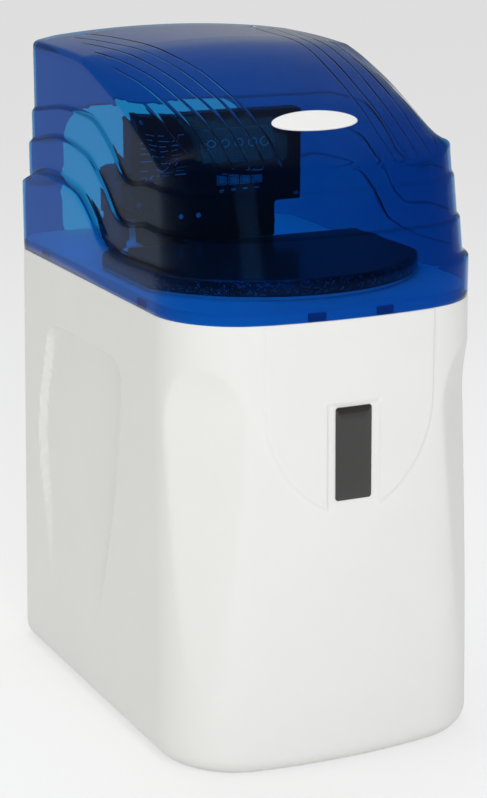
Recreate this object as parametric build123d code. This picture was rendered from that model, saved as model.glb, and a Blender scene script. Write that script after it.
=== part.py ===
from build123d import *
import math
import os

# Cabinet water softener: a white moulded tub that holds salt and a resin tank,
# with a control valve on the tank and a translucent hood over it.
# Millimetres. Front is -Y, +Z is up, the origin is the centre of the resting face.

# Cabinet tub
cabinet_height = 455.0
base_width = 344.0
top_width = 334.0
base_depth = 501.0
top_depth = 486.0
front_radius = 600.0
front_corner = 88.0
back_corner = 40.0
wall = 4.0
foot_fillet = 21.0
collar_wall = 3.5
collar_rise = 8.0
collar_drop = 15.0
collar_inset = 6.0
seat = 0.3

# Raised apron on the front, with a notch for the plate
apron_half = 92.0
apron_rise = 2.4
apron_straight = 110.0
notch_drop = 73.0
notch_half = 31.0
notch_height = 110.0
plate_width = 39.0
plate_height = 93.0
plate_lift = 4.0
plate_thickness = 1.6
plate_corner = 3.5
apron_sweep = 96.0

# Scooped facet on each front corner
facet_depth = 12.3
facet_half = 36.0
facet_low_z = 84.0
facet_drop = 43.0
facet_angle = 47.0

# Shallow panel on each side
panel_depth = 8.0
panel_low_z = 92.0
panel_drop = 67.0
panel_front_y = -58.0
panel_back_y = 160.0
panel_taper = 48.0
panel_back_in = 21.6
panel_foot_in = 33.6
panel_sill = 0.6
panel_corner = 14.0

# Pocket in the back wall for the overflow barb
pocket_x = (94.0, 126.0)
pocket_z = (300.0, 352.0)
pocket_depth = 32.0

# Hood: dome, shoulders and three stepped plates a side
hood_height = 236.0
hood_wall = 3.0
crown_radius = 1000.0
dome_flat_y = 60.0
dome_mid_y = -83.0
dome_mid_drop = 28.5
dome_front_drop = 94.0
dome_front_y = -214.0
dome_front_slope = 0.67
shoulder_round = 12.0
hood_corner = 80.0
body_inset = 12.5
step_one_inset = 10.0
step_one_proud = 0.5
step_two_inset = 6.8
step_two_proud = 1.2
front_start = 30.0
front_lean = 0.26
front_seat = 0.3
shoulder_wide = 30.0
shoulder_fall = 0.145
shoulder_start_y = 62.0
shoulder_y = (60.0, 10.0, -40.0, -90.0, -130.0)
shoulder_end_y = -190.0
shoulder_over = 40.0
step_y = (262.0, 185.0, 107.0, 30.0, -15.0, -45.0, -72.0)
step_one_heights = (148.0, 157.0, 167.0, 165.0, 142.0, 121.0, 119.0)
step_two_heights = (112.0, 123.0, 135.0, 125.0, 98.0, 80.0, 78.0)
skirt_heights = (66.0, 84.0, 95.0, 81.0, 50.0, 42.0, 41.0)
notch_wide = 217.0
notch_tall = 149.0
notch_corner = 32.0
badge_length = 92.0
badge_width = 32.0
badge_thickness = 1.2
badge_y = -158.0
pad_length = 18.0
pad_front_x = 36.6
pad_side_y = (-112.0, 150.0)
pad_lift = 1.0
pad_height = 6.5

# Deck and salt lid
deck_thickness = 3.0
deck_overhang = 1.0
lid_radius = 165.0
lid_side_gap = 17.0
lid_front_y = -196.0
lid_back_y = 30.0
lid_wall = 3.0
lid_corner = 12.0
lid_round = 7.0
lid_lift = 3.5
mouth_wall = 3.0
mouth_rise = 16.0
lid_gap = 0.6

# Resin tank
tank_radius = 103.0
tank_wall = 3.5
tank_back_gap = 4.0
tank_dome = 55.0
tank_lift = 9.0
neck_radius = 42.0
neck_bore = 33.5
neck_length = 26.0
neck_above = 3.0
seal_cord = 1.3
seal_mid = 35.9
foot_wall = 3.5
foot_rise = 62.0
foot_inner = 84.0
foot_seat = 95.0
foot_flare = 20.0
riser_radius = 13.35
riser_bore = 11.2
resin_level = 270.0
basket_radius = 30.0
basket_height = 52.0
basket_wall = 2.5
top_basket_below = 16.0
top_basket_above = 5.0
basket_slots = 12
slot_width = 1.6

# Brine well and its float valve
well_x = -92.0
well_y = -18.0
well_radius = 32.0
well_wall = 2.5
well_drop = 27.0
cap_lip = 10.0
cap_wall = 2.0
knob_radius = 8.0
knob_height = 9.0
grid_thickness = 5.0
grid_level = 70.0
grid_inset = 8.0
grid_leg_radius = 9.0
grid_pitch = 30.0
grid_rows = 4
grid_columns = 3
grid_gap = 2.0
grid_centre_y = -100.0
grid_hole = 5.0
grid_cut = 104.0
grid_legs = ((-125.0, -120.0), (125.0, -120.0), (-40.0, -205.0), (40.0, -205.0), (0.0, -15.0), (128.0, 5.0))
valve_shell_radius = 15.0
safety_drop = 103.0
safety_height = 34.0
ear_half = 5.0
ear_height = 6.0
pickup_radius = 5.0
pickup_bore = 3.5
air_radius = 12.0
air_wall = 2.0
air_low = 12.0
air_high = 76.0
outlet_radius = 6.0
outlet_reach = 8.0
float_radius = 24.0
float_height = 46.0
float_round = 4.0
float_gap = 0.8
float_level = 178.0
rod_radius = 2.0
rod_offset = 20.5
rod_end = 5.0
line_radius = 4.75
line_bore = 3.2
line_room = 1.5
line_leave = 30.0
line_swing = 20.0
line_short = 14.0
line_turn_rise = 42.0
line_straight = 42.0
line_grip = 6.0
running = 0.05

# Control valve, placed from the tank axis and the neck
valve_barrel = 34.0
bore_radius = 20.0
bore_rise = 87.0
bore_front = -14.0
barrel_rim = 6.0
barrel_end = 4.0
block_under = 15.0
neck_gap = 2.0
neck_ways = 6
neck_way_radius = 3.5
port_wall = 7.0
drain_wall = 5.0
plug_depth = 3.0
back_wall = 18.7
seal_count = 5
seal_thickness = 3.0
cage_length = 12.0
cage_rib = 3.0
piston_radius = 12.0
piston_travel = 20.0
piston_gap = 2.6
groove_depth = 3.5
groove_length = 7.0
piston_rod_radius = 5.0
head_half = 98.0
head_depth = 20.0
head_front = -68.0
head_low_rise = 56.0
head_high_rise = 155.0
tail_left = -85.0
tail_right = 67.0
tail_low_rise = 18.0
head_wall = 2.5
head_corner = 3.0
head_round = 2.0
block_half = 50.0
flange_radius = 46.0
flange_height = 16.0
boss_radius = 6.0
screw_radius = 2.2
screw_head = 1.8
bracket_thickness = 2.7
room_low_rise = 42.0
room_high_rise = 147.0
drain_rise = 10.0
gear_room_half = 55.0
port_x = 38.0
port_rise = 47.0
port_bore = 10.0
meter_radius = 9.2
meter_hub = 3.0
meter_inset = 20.0
meter_length = 10.0
meter_blades = 6
blade_half = 0.6

# Gear train
gear_module = 1.0
drive_teeth = 50
pinion_teeth = 12
fine_module = 0.8
fine_teeth = 36
mesh_gap = 0.15
gear_face = 6.0
fine_face = 5.8
hub_radius = 9.0
drive_angle = 60.0
motor_angle = 40.0
motor_radius = 12.0
motor_length = 34.0
motor_round = 2.0
shaft_radius = 1.5
shaft_grip = 6.0
shaft_room = 3.5
axle_radius = 2.0

# Injector housing beside the valve
injector_x = -100.0
injector_forward = 26.0
injector_rise = 20.0
injector_radius = 15.0
injector_step = 2.5
injector_foot = 22.0
injector_waist = 10.0
injector_height = 64.0
injector_cap_step = 2.0
injector_cap_height = 16.0
injector_cap_round = 4.0
cap_ribs = 10
cap_rib_radius = 1.2
cap_rib_height = 10.0
nozzle_radius = 6.0
nozzle_throat = 1.2
nozzle_rise = 30.0
nozzle_length = 30.0
line_nut_half = 11.0
line_nut_height = 10.0
arm_gap = 22.0
arm_depth = 14.0
arm_under = 5.0
arm_over = 20.0
arm_bore = 4.0

# Keys, display and lamps on the control head
key_size = 8.4
key_clear = 0.3
key_travel = 1.0
key_proud = 1.5
key_round = 1.0
key_lip = 1.3
key_lip_thickness = 1.0
switch_half = 3.0
key_first_x = 4.0
key_pitch = 13.8
key_rise = 83.0
key_count = 4
window_x = (-20.0, 66.0)
window_rise = (102.0, 139.0)
window_sunk = 0.4
display_margin = 2.0
lamp_x = (-45.0, -24.0)
lamp_rise = 47.0
lamp_radius = 2.6
lamp_proud = 0.6
board_half = 82.0
board_thickness = 1.6
board_gap = 6.0
board_margin = 6.0
post_inset = 5.0
post_radius = 3.0
screw_inset = 7.0
cover_screw_radius = 1.5
jack_radius = 5.0
jack_bore = 2.75
jack_depth = 9.0
jack_length = 14.0
jack_rim = 1.5
jack_rise = 34.0

# Bypass and pipe ends
bypass_depth = 27.0
bypass_under = 20.0
bypass_over = 22.0
bypass_side = 24.0
rotor_radius = 12.0
rotor_hole = 8.0
cross_bore = 5.0
bypass_floor = 5.0
bypass_round = 5.0
disc_rim = 3.0
disc_height = 4.0
bar_half = 3.5
bar_height = 10.0
thread_radius = 13.2
thread_length = 20.4
pipe_bore = 9.0
pipe_rim = 3.0
pipe_rim_thickness = 2.9
clip_wall = 2.0
clip_width = 2.5
clip_gap = 7.0
barb_radius = 6.35
barb_wall = 2.0
barb_rim = 4.0
flange_thickness = 3.0
overflow_inside = 9.0
overflow_nut = 22.0
overflow_nut_height = 6.0
drain_length = 36.0

# Levels and places worked out from the sizes above
apron_bend_z = cabinet_height - apron_straight
apron_tip_z = cabinet_height - notch_drop - notch_height
plate_base_z = apron_tip_z + plate_lift
facet_high_z = cabinet_height - facet_drop
panel_high_z = cabinet_height - panel_drop
well_top = cabinet_height - well_drop
safety_level = well_top - safety_drop
deck_level = cabinet_height + collar_rise
deck_top = deck_level + deck_thickness
mouth_top = deck_top + mouth_rise
dome_top = cabinet_height + hood_height
pad_low = cabinet_height + pad_lift
pad_high = pad_low + pad_height
top_half = top_width / 2
back_top = top_depth / 2
back_least = min(back_top, base_depth / 2)
lid_half = top_half - lid_side_gap
pocket_floor = back_top - pocket_depth
pocket_mid_x = (pocket_x[0] + pocket_x[1]) / 2
pocket_mid_z = (pocket_z[0] + pocket_z[1]) / 2
overflow_end = back_top - 1
tank_y = back_least - wall - tank_back_gap - tank_radius
neck_top = cabinet_height + neck_above
neck_low = neck_top - neck_length
tank_bottom = wall + tank_lift
basket_low = tank_bottom + tank_wall + 4
flange_top = neck_top + flange_height
riser_top = neck_top + 12
bore_z = neck_top + bore_rise
pipe_z = neck_top + port_rise
drain_z = bore_z + drain_rise
room_low = neck_top + room_low_rise
room_high = neck_top + room_high_rise
head_low = neck_top + head_low_rise
head_high = neck_top + head_high_rise
tail_low = neck_top + tail_low_rise
key_z = neck_top + key_rise
window_low = neck_top + window_rise[0]
window_high = neck_top + window_rise[1]
lamp_z = neck_top + lamp_rise
head_y = tank_y + head_front
head_back = head_y + head_depth
gear_back = tank_y - 26.0
bracket_back = gear_back + bracket_thickness
bore_y0 = tank_y + bore_front
seal_start = bore_y0 + plug_depth
seal_length = seal_count * seal_thickness + (seal_count - 1) * cage_length
bore_y1 = seal_start + seal_length + seat
valve_back = bore_y1 + back_wall
piston_length = seal_length - piston_travel - 2 * piston_gap
piston_y = seal_start + seal_length - piston_gap - piston_length
gear_y = gear_back - 8
fine_y = gear_back - 15
rod_front = gear_y - 1
idle_gap = gear_module * (drive_teeth + pinion_teeth) / 2 + mesh_gap
idle_x = idle_gap * math.cos(math.radians(drive_angle))
idle_z = bore_z + idle_gap * math.sin(math.radians(drive_angle))
motor_gap = fine_module * (fine_teeth + pinion_teeth) / 2 + mesh_gap
motor_x = idle_x + motor_gap * math.cos(math.radians(motor_angle))
motor_z = idle_z + motor_gap * math.sin(math.radians(motor_angle))
boss_places = ((-40.0, room_low + 12), (40.0, room_low + 12), (-28.0, bore_z + 28))
injector_y = tank_y - injector_forward
injector_low = neck_top + injector_rise
line_end_z = injector_low + line_grip
injector_top = injector_low + injector_height
nozzle_low = injector_low + nozzle_rise
arm_y = tank_y - arm_gap
outlet_z = safety_level + safety_height / 2
outlet_end = well_y + well_radius + outlet_reach
key_lip_y = head_y + head_wall + key_clear
switch_y = key_lip_y + key_lip_thickness + key_travel + key_clear
board_front = head_y + board_gap
board_back = board_front + board_thickness
board_low = head_low + board_margin
board_high = head_high - board_margin
board_post_x = board_half - post_inset
board_post_levels = (board_low + post_inset, board_high - post_inset)
board_posts = [(x, z) for x in (-board_post_x, board_post_x) for z in board_post_levels]
cover_screw_x = head_half - screw_inset
cover_screw_places = [
    (x, z) for x in (-cover_screw_x, cover_screw_x) for z in (head_low + screw_inset, head_high - screw_inset)
]
jack_y = head_y + 10
jack_z = neck_top + jack_rise
bypass_low = pipe_z - bypass_under
bypass_top = pipe_z + bypass_over
pipe_end = valve_back + bypass_depth + thread_length
drain_end = valve_back + drain_length


def block(x0, x1, y0, y1, z0, z1):
    """Box between two corners."""
    centre = Pos((x0 + x1) / 2, (y0 + y1) / 2, (z0 + z1) / 2)
    return centre * Box(x1 - x0, y1 - y0, z1 - z0)


def post(radius, z0, z1, x=0.0, y=0.0):
    """Upright cylinder."""
    return Pos(x, y, (z0 + z1) / 2) * Cylinder(radius, z1 - z0)


def rod_y(radius, y0, y1, x, z):
    """Cylinder that lies front to back."""
    return Pos(x, (y0 + y1) / 2, z) * Rot(90, 0, 0) * Cylinder(radius, y1 - y0)


def rod_x(radius, x0, x1, y, z):
    """Cylinder that lies side to side."""
    return Pos((x0 + x1) / 2, y, z) * Rot(0, 90, 0) * Cylinder(radius, x1 - x0)


def along_y(sketch, y0, y1, x=0.0, z=0.0):
    """Extrude a sketch drawn in X and Z from y0 to y1."""
    plane = Plane((x, y1, z), x_dir=(1, 0, 0), z_dir=(0, -1, 0))
    return extrude(plane * sketch, y1 - y0)


def along_x(sketch, x0, x1):
    """Extrude a sketch drawn in Y and Z from x0 to x1."""
    plane = Plane((x0, 0, 0), x_dir=(0, 1, 0), z_dir=(1, 0, 0))
    return extrude(plane * sketch, x1 - x0)


def mirrored(shape):
    """The same shape on the other side of the middle plane."""
    return mirror(shape, about=Plane.YZ)


def plan(half_w, front_y, back_y, front_r, corner_f, corner_b):
    """Plan outline: bowed front, straight sides and back, round corners."""
    bow = front_r - math.sqrt(front_r**2 - half_w**2)
    with BuildSketch() as sketch:
        with BuildLine():
            ThreePointArc((-half_w, front_y + bow), (0, front_y), (half_w, front_y + bow))
            Polyline(
                (half_w, front_y + bow),
                (half_w, back_y),
                (-half_w, back_y),
                (-half_w, front_y + bow),
            )
        make_face()
        fillet(sketch.vertices().group_by(Axis.Y)[0], corner_f)
        fillet(sketch.vertices().group_by(Axis.Y)[-1], corner_b)
    return sketch.sketch


def tub_plan(z, grow):
    """Outline of the tapered tub at a height, grown outwards."""
    share = z / cabinet_height
    half_w = (base_width + (top_width - base_width) * share) / 2 + grow
    half_d = (base_depth + (top_depth - base_depth) * share) / 2 + grow
    outline = plan(
        half_w, -half_d, half_d, front_radius + grow, front_corner + grow, back_corner + grow
    )
    return Pos(0, 0, z) * outline


def tub(z0, z1, grow):
    """Solid tub between two heights."""
    return loft([tub_plan(z0, grow), tub_plan(z1, grow)], ruled=True)


def facet_tool(grow):
    """Block that scoops the left front corner, with an arched top."""
    half = facet_half + grow
    height = facet_high_z - facet_low_z
    with BuildSketch() as arch:
        with BuildLine():
            Line((-half, 0), (half, 0))
            Line((half, 0), (half, height - half))
            ThreePointArc((half, height - half), (0, height + grow), (-half, height - half))
            Line((-half, height - half), (-half, 0))
        make_face()
    angle = math.radians(facet_angle)
    out = Vector(-math.cos(angle), -math.sin(angle), 0)
    narrow = (base_width / 2 - top_half) * math.cos(angle) + (base_depth / 2 - back_top) * math.sin(angle)
    fade = facet_depth + narrow * height / cabinet_height
    lean = math.degrees(math.atan2(fade, height))
    corner_x = -(top_half - front_corner)
    corner_y = front_radius - back_top - math.sqrt((front_radius - front_corner) ** 2 - corner_x**2)
    reach = front_corner - facet_depth - grow + fade
    origin = Vector(corner_x, corner_y, facet_low_z) + out * reach
    plane = Plane(origin, x_dir=(math.sin(angle), -math.cos(angle), 0), z_dir=out)
    return extrude(plane.rotated((-lean, 0, 0)) * arch.sketch, front_corner)


def panel_tool(grow):
    """Block that sinks the tapered panel of the left side."""
    low = panel_low_z - grow
    high = panel_high_z + grow
    front = panel_front_y - grow
    back = panel_back_y + grow
    middle = (low + high) / 2
    with BuildSketch() as outline:
        with BuildLine():
            Line((front + panel_taper, low), (front, high))
            Line((front, high), (back - panel_back_in, high))
            ThreePointArc((back - panel_back_in, high), (back, middle), (back - panel_foot_in, low))
            Line((back - panel_foot_in, low), (front + panel_taper, low))
        make_face()
        fillet(outline.vertices(), panel_corner + grow)
    half_low = base_width / 2
    half_high = top_half + (base_width / 2 - top_half) * (1 - panel_high_z / cabinet_height)
    lean = math.atan2(half_low - half_high + panel_depth, panel_high_z - panel_low_z)
    start = -(half_low - panel_sill - grow)
    plane = Plane((start, 0, panel_low_z), x_dir=(0, -1, 0), z_dir=(-math.cos(lean), 0, math.sin(lean)))
    flat = Pos(0, -panel_low_z) * mirror(outline.sketch, about=Plane.YZ)
    return extrude(plane * flat, base_width / 2)


def apron():
    """Raised U on the front, with the notch for the plate."""
    bend = apron_bend_z
    with BuildSketch() as outline:
        with BuildLine():
            Line((-notch_half, apron_tip_z), (-notch_half, apron_tip_z + notch_height))
            Line((-notch_half, apron_tip_z + notch_height), (notch_half, apron_tip_z + notch_height))
            Line((notch_half, apron_tip_z + notch_height), (notch_half, apron_tip_z))
            RadiusArc((notch_half, apron_tip_z), (apron_half, bend), -apron_sweep)
            Line((apron_half, bend), (apron_half, cabinet_height))
            Line((apron_half, cabinet_height), (-apron_half, cabinet_height))
            Line((-apron_half, cabinet_height), (-apron_half, bend))
            RadiusArc((-apron_half, bend), (-notch_half, apron_tip_z), -apron_sweep)
        make_face()
    slab = along_y(outline.sketch, -base_depth, 0)
    return slab & tub(0, cabinet_height, apron_rise)


def plan_at_top(grow):
    """Outline of the tub's top, drawn at height zero and grown outwards."""
    return Pos(0, 0, -cabinet_height) * tub_plan(cabinet_height, grow)


def prism(sketch, z0, z1):
    """Upright extrusion of a flat sketch between two heights."""
    return Pos(0, 0, z0) * extrude(sketch, z1 - z0)


def rear_pocket():
    """Space of the overflow pocket, open at the back."""
    return block(*pocket_x, pocket_floor, base_depth, *pocket_z)


def pocket_walls():
    """Walls of the overflow pocket, inside the tub."""
    solid = block(
        pocket_x[0] - wall,
        pocket_x[1] + wall,
        pocket_floor - wall,
        base_depth,
        pocket_z[0] - wall,
        pocket_z[1] + wall,
    )
    return solid & tub(wall, cabinet_height, -wall / 2)


def make_cabinet():
    """Tub with its apron, facets, side panels, collar and rear pocket."""
    outer = tub(0, cabinet_height, 0)
    outer = fillet(outer.edges().group_by(Axis.Z)[0], foot_fillet)
    inner = tub(wall, cabinet_height, -wall)
    inner = fillet(inner.edges().group_by(Axis.Z)[0], foot_fillet - wall)
    for tool in (facet_tool, panel_tool):
        cut = tool(0)
        keep = tool(wall)
        outer = outer - cut - mirrored(cut)
        inner = inner - keep - mirrored(keep)
    collar_low = cabinet_height - collar_drop
    ledge = prism(plan_at_top(-wall / 2), collar_low, cabinet_height)
    collar = prism(plan_at_top(-collar_inset), collar_low, deck_level)
    opening = prism(plan_at_top(-collar_inset - collar_wall), collar_low, deck_level)
    shell = outer + apron() - inner + (ledge + collar - opening) + pocket_walls()
    hole = rod_y(barb_radius + running, 0, pocket_floor + wall, pocket_mid_x, pocket_mid_z)
    return shell - rear_pocket() - hole


def make_front_plate():
    """Bare glossy plate in the notch of the apron."""
    outline = RectangleRounded(plate_width, plate_height, plate_corner)
    slab = along_y(outline, -base_depth, 0, 0, plate_base_z + plate_height / 2)
    return slab & (tub(0, cabinet_height, plate_thickness + running) - tub(0, cabinet_height, running))


def lid_plan(grow):
    """Plan of the salt lid: wide bowed front, straight sides and back."""
    centre_y = lid_front_y + lid_radius
    half = lid_half + grow
    back = lid_back_y + grow
    with BuildSketch() as sketch:
        with Locations((0, centre_y)):
            Circle(lid_radius + grow)
        with Locations((0, back)):
            Rectangle(2 * half, 4 * lid_radius, align=(Align.CENTER, Align.MAX), mode=Mode.INTERSECT)
        fillet(sketch.vertices(), lid_corner + grow)
    return sketch.sketch


def make_deck():
    """White deck on the collar, with the salt mouth and the neck hole."""
    plate = prism(plan_at_top(deck_overhang - collar_inset), deck_level, deck_top)
    mouth = -lid_wall - lid_gap
    ring = prism(lid_plan(mouth), deck_level, mouth_top)
    opening = prism(lid_plan(mouth - mouth_wall), deck_level, mouth_top)
    neck = post(flange_radius + seat, deck_level, mouth_top, 0, tank_y)
    tube = post(line_radius + line_room, deck_level, mouth_top, injector_x, injector_y)
    return plate + ring - opening - neck - tube


def make_lid():
    """Salt lid: a shallow cap over the mouth."""
    lid_top = mouth_top + lid_wall
    shell = prism(lid_plan(0), deck_top + lid_lift, lid_top)
    shell = fillet(shell.edges().group_by(Axis.Z)[-1], lid_round)
    return shell - prism(lid_plan(-lid_wall), deck_top + lid_lift, mouth_top)


def dome_circle():
    """Centre and radius of the arc that the dome follows to the front."""
    y1, z1 = dome_flat_y, dome_top
    y2, z2 = dome_mid_y, dome_top - dome_mid_drop
    y3, z3 = dome_front_y, dome_top - dome_front_drop
    det = 2 * (y1 * (z2 - z3) + y2 * (z3 - z1) + y3 * (z1 - z2))
    s1, s2, s3 = y1**2 + z1**2, y2**2 + z2**2, y3**2 + z3**2
    yc = (s1 * (z2 - z3) + s2 * (z3 - z1) + s3 * (z1 - z2)) / det
    zc = (s1 * (y3 - y2) + s2 * (y1 - y3) + s3 * (y2 - y1)) / det
    return yc, zc, math.hypot(y1 - yc, z1 - zc)


def dome(shrink):
    """Body under the crowned dome, turned about an axis along Y."""
    top = dome_top - shrink
    axis_z = dome_top - crown_radius
    front_z = top - dome_front_drop
    far = base_depth
    with BuildSketch(Plane.YZ) as profile:
        with BuildLine():
            Line((far, top), (dome_flat_y, top))
            ThreePointArc(
                (dome_flat_y, top), (dome_mid_y, top - dome_mid_drop), (dome_front_y, front_z)
            )
            Line((dome_front_y, front_z), (-far, front_z - dome_front_slope * (far + dome_front_y)))
            Line((-far, front_z - dome_front_slope * (far + dome_front_y)), (-far, axis_z))
            Line((-far, axis_z), (far, axis_z))
            Line((far, axis_z), (far, top))
        make_face()
    return revolve(profile.sketch, Axis((0, 0, axis_z), (0, 1, 0)))


def hood_plan(inset, front_inset, shrink):
    """Plan of one tier of the hood."""
    half = top_half - inset - shrink
    front = -back_top + front_inset + shrink
    back = back_top - inset - shrink
    return plan(half, front, back, front_radius, hood_corner - shrink, back_corner - shrink)


def hood_form(inset, proud, shrink, low):
    """Walls of one tier, upright at first and then leaning back at the front."""
    start = cabinet_height + front_start + (proud + front_seat) / front_lean
    end = dome_top + 1
    deep = front_seat + (end - start) * front_lean
    foot = prism(hood_plan(inset, front_seat, shrink), low, start)
    lower = Pos(0, 0, start) * hood_plan(inset, front_seat, shrink)
    upper = Pos(0, 0, end) * hood_plan(inset, deep, shrink)
    return foot + loft([lower, upper], ruled=True)


def dome_height(x, y):
    """Height of the dome over a place."""
    yc, zc, radius = dome_circle()
    axis_z = dome_top - crown_radius
    ridge = zc + math.sqrt(radius**2 - (min(y, dome_flat_y) - yc) ** 2)
    return axis_z + math.sqrt((ridge - axis_z) ** 2 - x**2)


def shoulder_tool(shrink):
    """Block that cuts the facet along the left shoulder, deeper to the front."""
    outer = top_half - body_inset
    inner = outer - shoulder_wide
    sections = []
    for y in (*shoulder_y, shoulder_end_y):
        fall = shoulder_fall * (shoulder_start_y - max(y, shoulder_y[-1]))
        if y == shoulder_end_y:
            fall = 0
        high = dome_height(inner, y) - shrink
        low = dome_height(outer, y) - fall - shrink
        slope = (low - high) / shoulder_wide
        far = inner + 2 * shoulder_wide
        near = inner - shoulder_wide / 2
        with BuildSketch(Plane((0, y, 0), x_dir=(-1, 0, 0), z_dir=(0, 1, 0))) as section:
            with BuildLine():
                Polyline(
                    (near, high - slope * shoulder_wide / 2),
                    (far, high + 2 * slope * shoulder_wide),
                    (far, high + shoulder_over),
                    (near, high - slope * shoulder_wide / 2),
                )
            make_face()
        sections.append(section.sketch)
    return loft(sections, ruled=True)


def tier(walls, heights, shrink, low):
    """Plate of the hood whose top edge falls in a wave from back to front."""
    points = [(y, cabinet_height + h - shrink) for y, h in zip(step_y, heights)]
    with BuildSketch() as side:
        with BuildLine():
            Spline(*points)
            Polyline(
                points[-1],
                (-base_depth, points[-1][1]),
                (-base_depth, low),
                (points[0][0], low),
                points[0],
            )
        make_face()
    slab = along_x(side.sketch, -base_width, base_width)
    return slab & walls


def hood_body(shrink, low):
    """Outer form of the hood, or its hollow when shrunk by the wall."""
    body = hood_form(body_inset, 0, shrink, low) & dome(shrink)
    rim = [e for e in body.edges() if on_dome_rim(e, shrink)]
    body = fillet(rim, shoulder_round - shrink)
    facet = shoulder_tool(shrink)
    body = body - facet - mirrored(facet)
    step_one = hood_form(step_one_inset, step_one_proud, shrink, low)
    step_two = hood_form(step_two_inset, step_two_proud, shrink, low)
    skirt = prism(hood_plan(0, 0, shrink), low, dome_top)
    body = body + tier(step_one, step_one_heights, shrink, low)
    body = body + tier(step_two, step_two_heights, shrink, low)
    return body + tier(skirt, skirt_heights, shrink, low)


def on_dome_rim(edge, shrink):
    """True for an edge where the dome meets the upright walls."""
    centre = edge.center()
    upright = abs(edge.tangent_at(0.5).Z) > 0.9
    high = centre.Z > dome_top - dome_front_drop - 2 * shoulder_round
    half = top_half - body_inset - shrink
    back = back_top - body_inset - shrink
    crosses = abs(centre.X) < half / 2 and dome_front_y < centre.Y < back - 1
    return high and not upright and not crosses


def make_hood():
    """Translucent hood with an open rear notch for the pipes."""
    shell = hood_body(0, cabinet_height) - hood_body(hood_wall, cabinet_height)
    half = notch_wide / 2
    outline = Pos(0, cabinet_height) * RectangleRounded(2 * half, 2 * notch_tall, notch_corner)
    return shell - along_y(outline, back_top / 2, base_depth)


def make_badge():
    """Bare oval plate that follows the dome."""
    yc, zc, radius = dome_circle()
    lean = math.asin((badge_y - yc) / radius)
    seat_z = zc + radius * math.cos(lean)
    plane = Plane((0, badge_y, seat_z), x_dir=(1, 0, 0), z_dir=(0, math.sin(lean), math.cos(lean)))
    oval = extrude(plane.offset(-badge_width) * Ellipse(badge_length / 2, badge_width / 2), 2 * badge_width)
    return oval & (dome(-badge_thickness - running) - dome(-running))


def make_pads():
    """Small rubber pads that centre the hood on the collar."""
    band = prism(plan_at_top(-hood_wall - seat), pad_low, pad_high)
    band = band - prism(plan_at_top(-collar_inset + seat), pad_low, pad_high)
    half = pad_length / 2
    pads = []
    for x in (-pad_front_x, pad_front_x):
        pads.append(band & block(x - half, x + half, -base_depth, 0, pad_low, pad_high))
    for x0, x1 in ((-base_width, 0), (0, base_width)):
        for y in pad_side_y:
            pads.append(band & block(x0, x1, y - half, y + half, pad_low, pad_high))
    return pads


def tank_body(grow):
    """Solid form of the tank: straight wall between two oval ends."""
    radius = tank_radius + grow
    rise = tank_dome + grow
    low = tank_bottom + tank_dome
    high = neck_top - neck_length / 2 - tank_dome
    with BuildSketch(Plane.XZ) as profile:
        with BuildLine():
            EllipticalCenterArc((0, low), radius, rise, 270, arc_size=90)
            Line((radius, low), (radius, high))
            EllipticalCenterArc((0, high), radius, rise, 0, arc_size=90)
            Line((0, high + rise), (0, low - rise))
        make_face()
    return Pos(0, tank_y, 0) * revolve(profile.sketch, Axis.Z)


def make_tank():
    """Wound tank shell with its threaded neck."""
    neck = post(neck_radius, neck_top - neck_length, neck_top, 0, tank_y)
    bore = post(neck_bore, neck_top - 2 * neck_length, neck_top, 0, tank_y)
    return tank_body(0) + neck - tank_body(-tank_wall) - bore


def make_tank_foot():
    """Boot ring that stands the round end of the tank on the floor."""
    outer = tank_radius + foot_wall
    with BuildSketch(Plane.XZ) as profile:
        Polygon(
            (foot_inner, wall),
            (foot_seat, wall),
            (outer, wall + foot_flare),
            (outer, wall + foot_rise),
            (foot_inner, wall + foot_rise),
            align=None,
        )
    ring = Pos(0, tank_y, 0) * revolve(profile.sketch, Axis.Z)
    return ring - tank_body(seat)


def basket(z0, z1, bore):
    """Slotted basket round the riser."""
    low, high = z0 + basket_wall, z1 - basket_wall
    shell = post(basket_radius, z0, z1, 0, tank_y) - post(bore, z0, z1, 0, tank_y)
    inside = post(basket_radius - basket_wall, low, high, 0, tank_y)
    shell = shell - (inside - post(bore + basket_wall, low, high, 0, tank_y))
    half = slot_width / 2
    for turn in range(basket_slots):
        slot = block(basket_radius - 2 * basket_wall, basket_radius + 1, -half, half, low + 2, high - 2)
        shell = shell - Pos(0, tank_y, 0) * Rot(0, 0, 360 * turn / basket_slots) * slot
    return shell


def make_riser():
    """Tube from the bottom basket to the valve."""
    solid = post(riser_radius, basket_low, riser_top, 0, tank_y)
    return solid - post(riser_bore, basket_low, riser_top, 0, tank_y)


def make_resin():
    """Bed of resin round the riser and the bottom basket."""
    bed = tank_body(-tank_wall - seat) & post(tank_radius, 0, resin_level, 0, tank_y)
    bed = bed - post(riser_radius + seat, 0, resin_level, 0, tank_y)
    return bed - post(basket_radius + seat, 0, basket_low + basket_height + seat, 0, tank_y)


def make_tank_seal():
    """Ring seal between the neck and the valve."""
    return Pos(0, tank_y, neck_top + seal_cord) * Torus(seal_mid, seal_cord)


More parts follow.
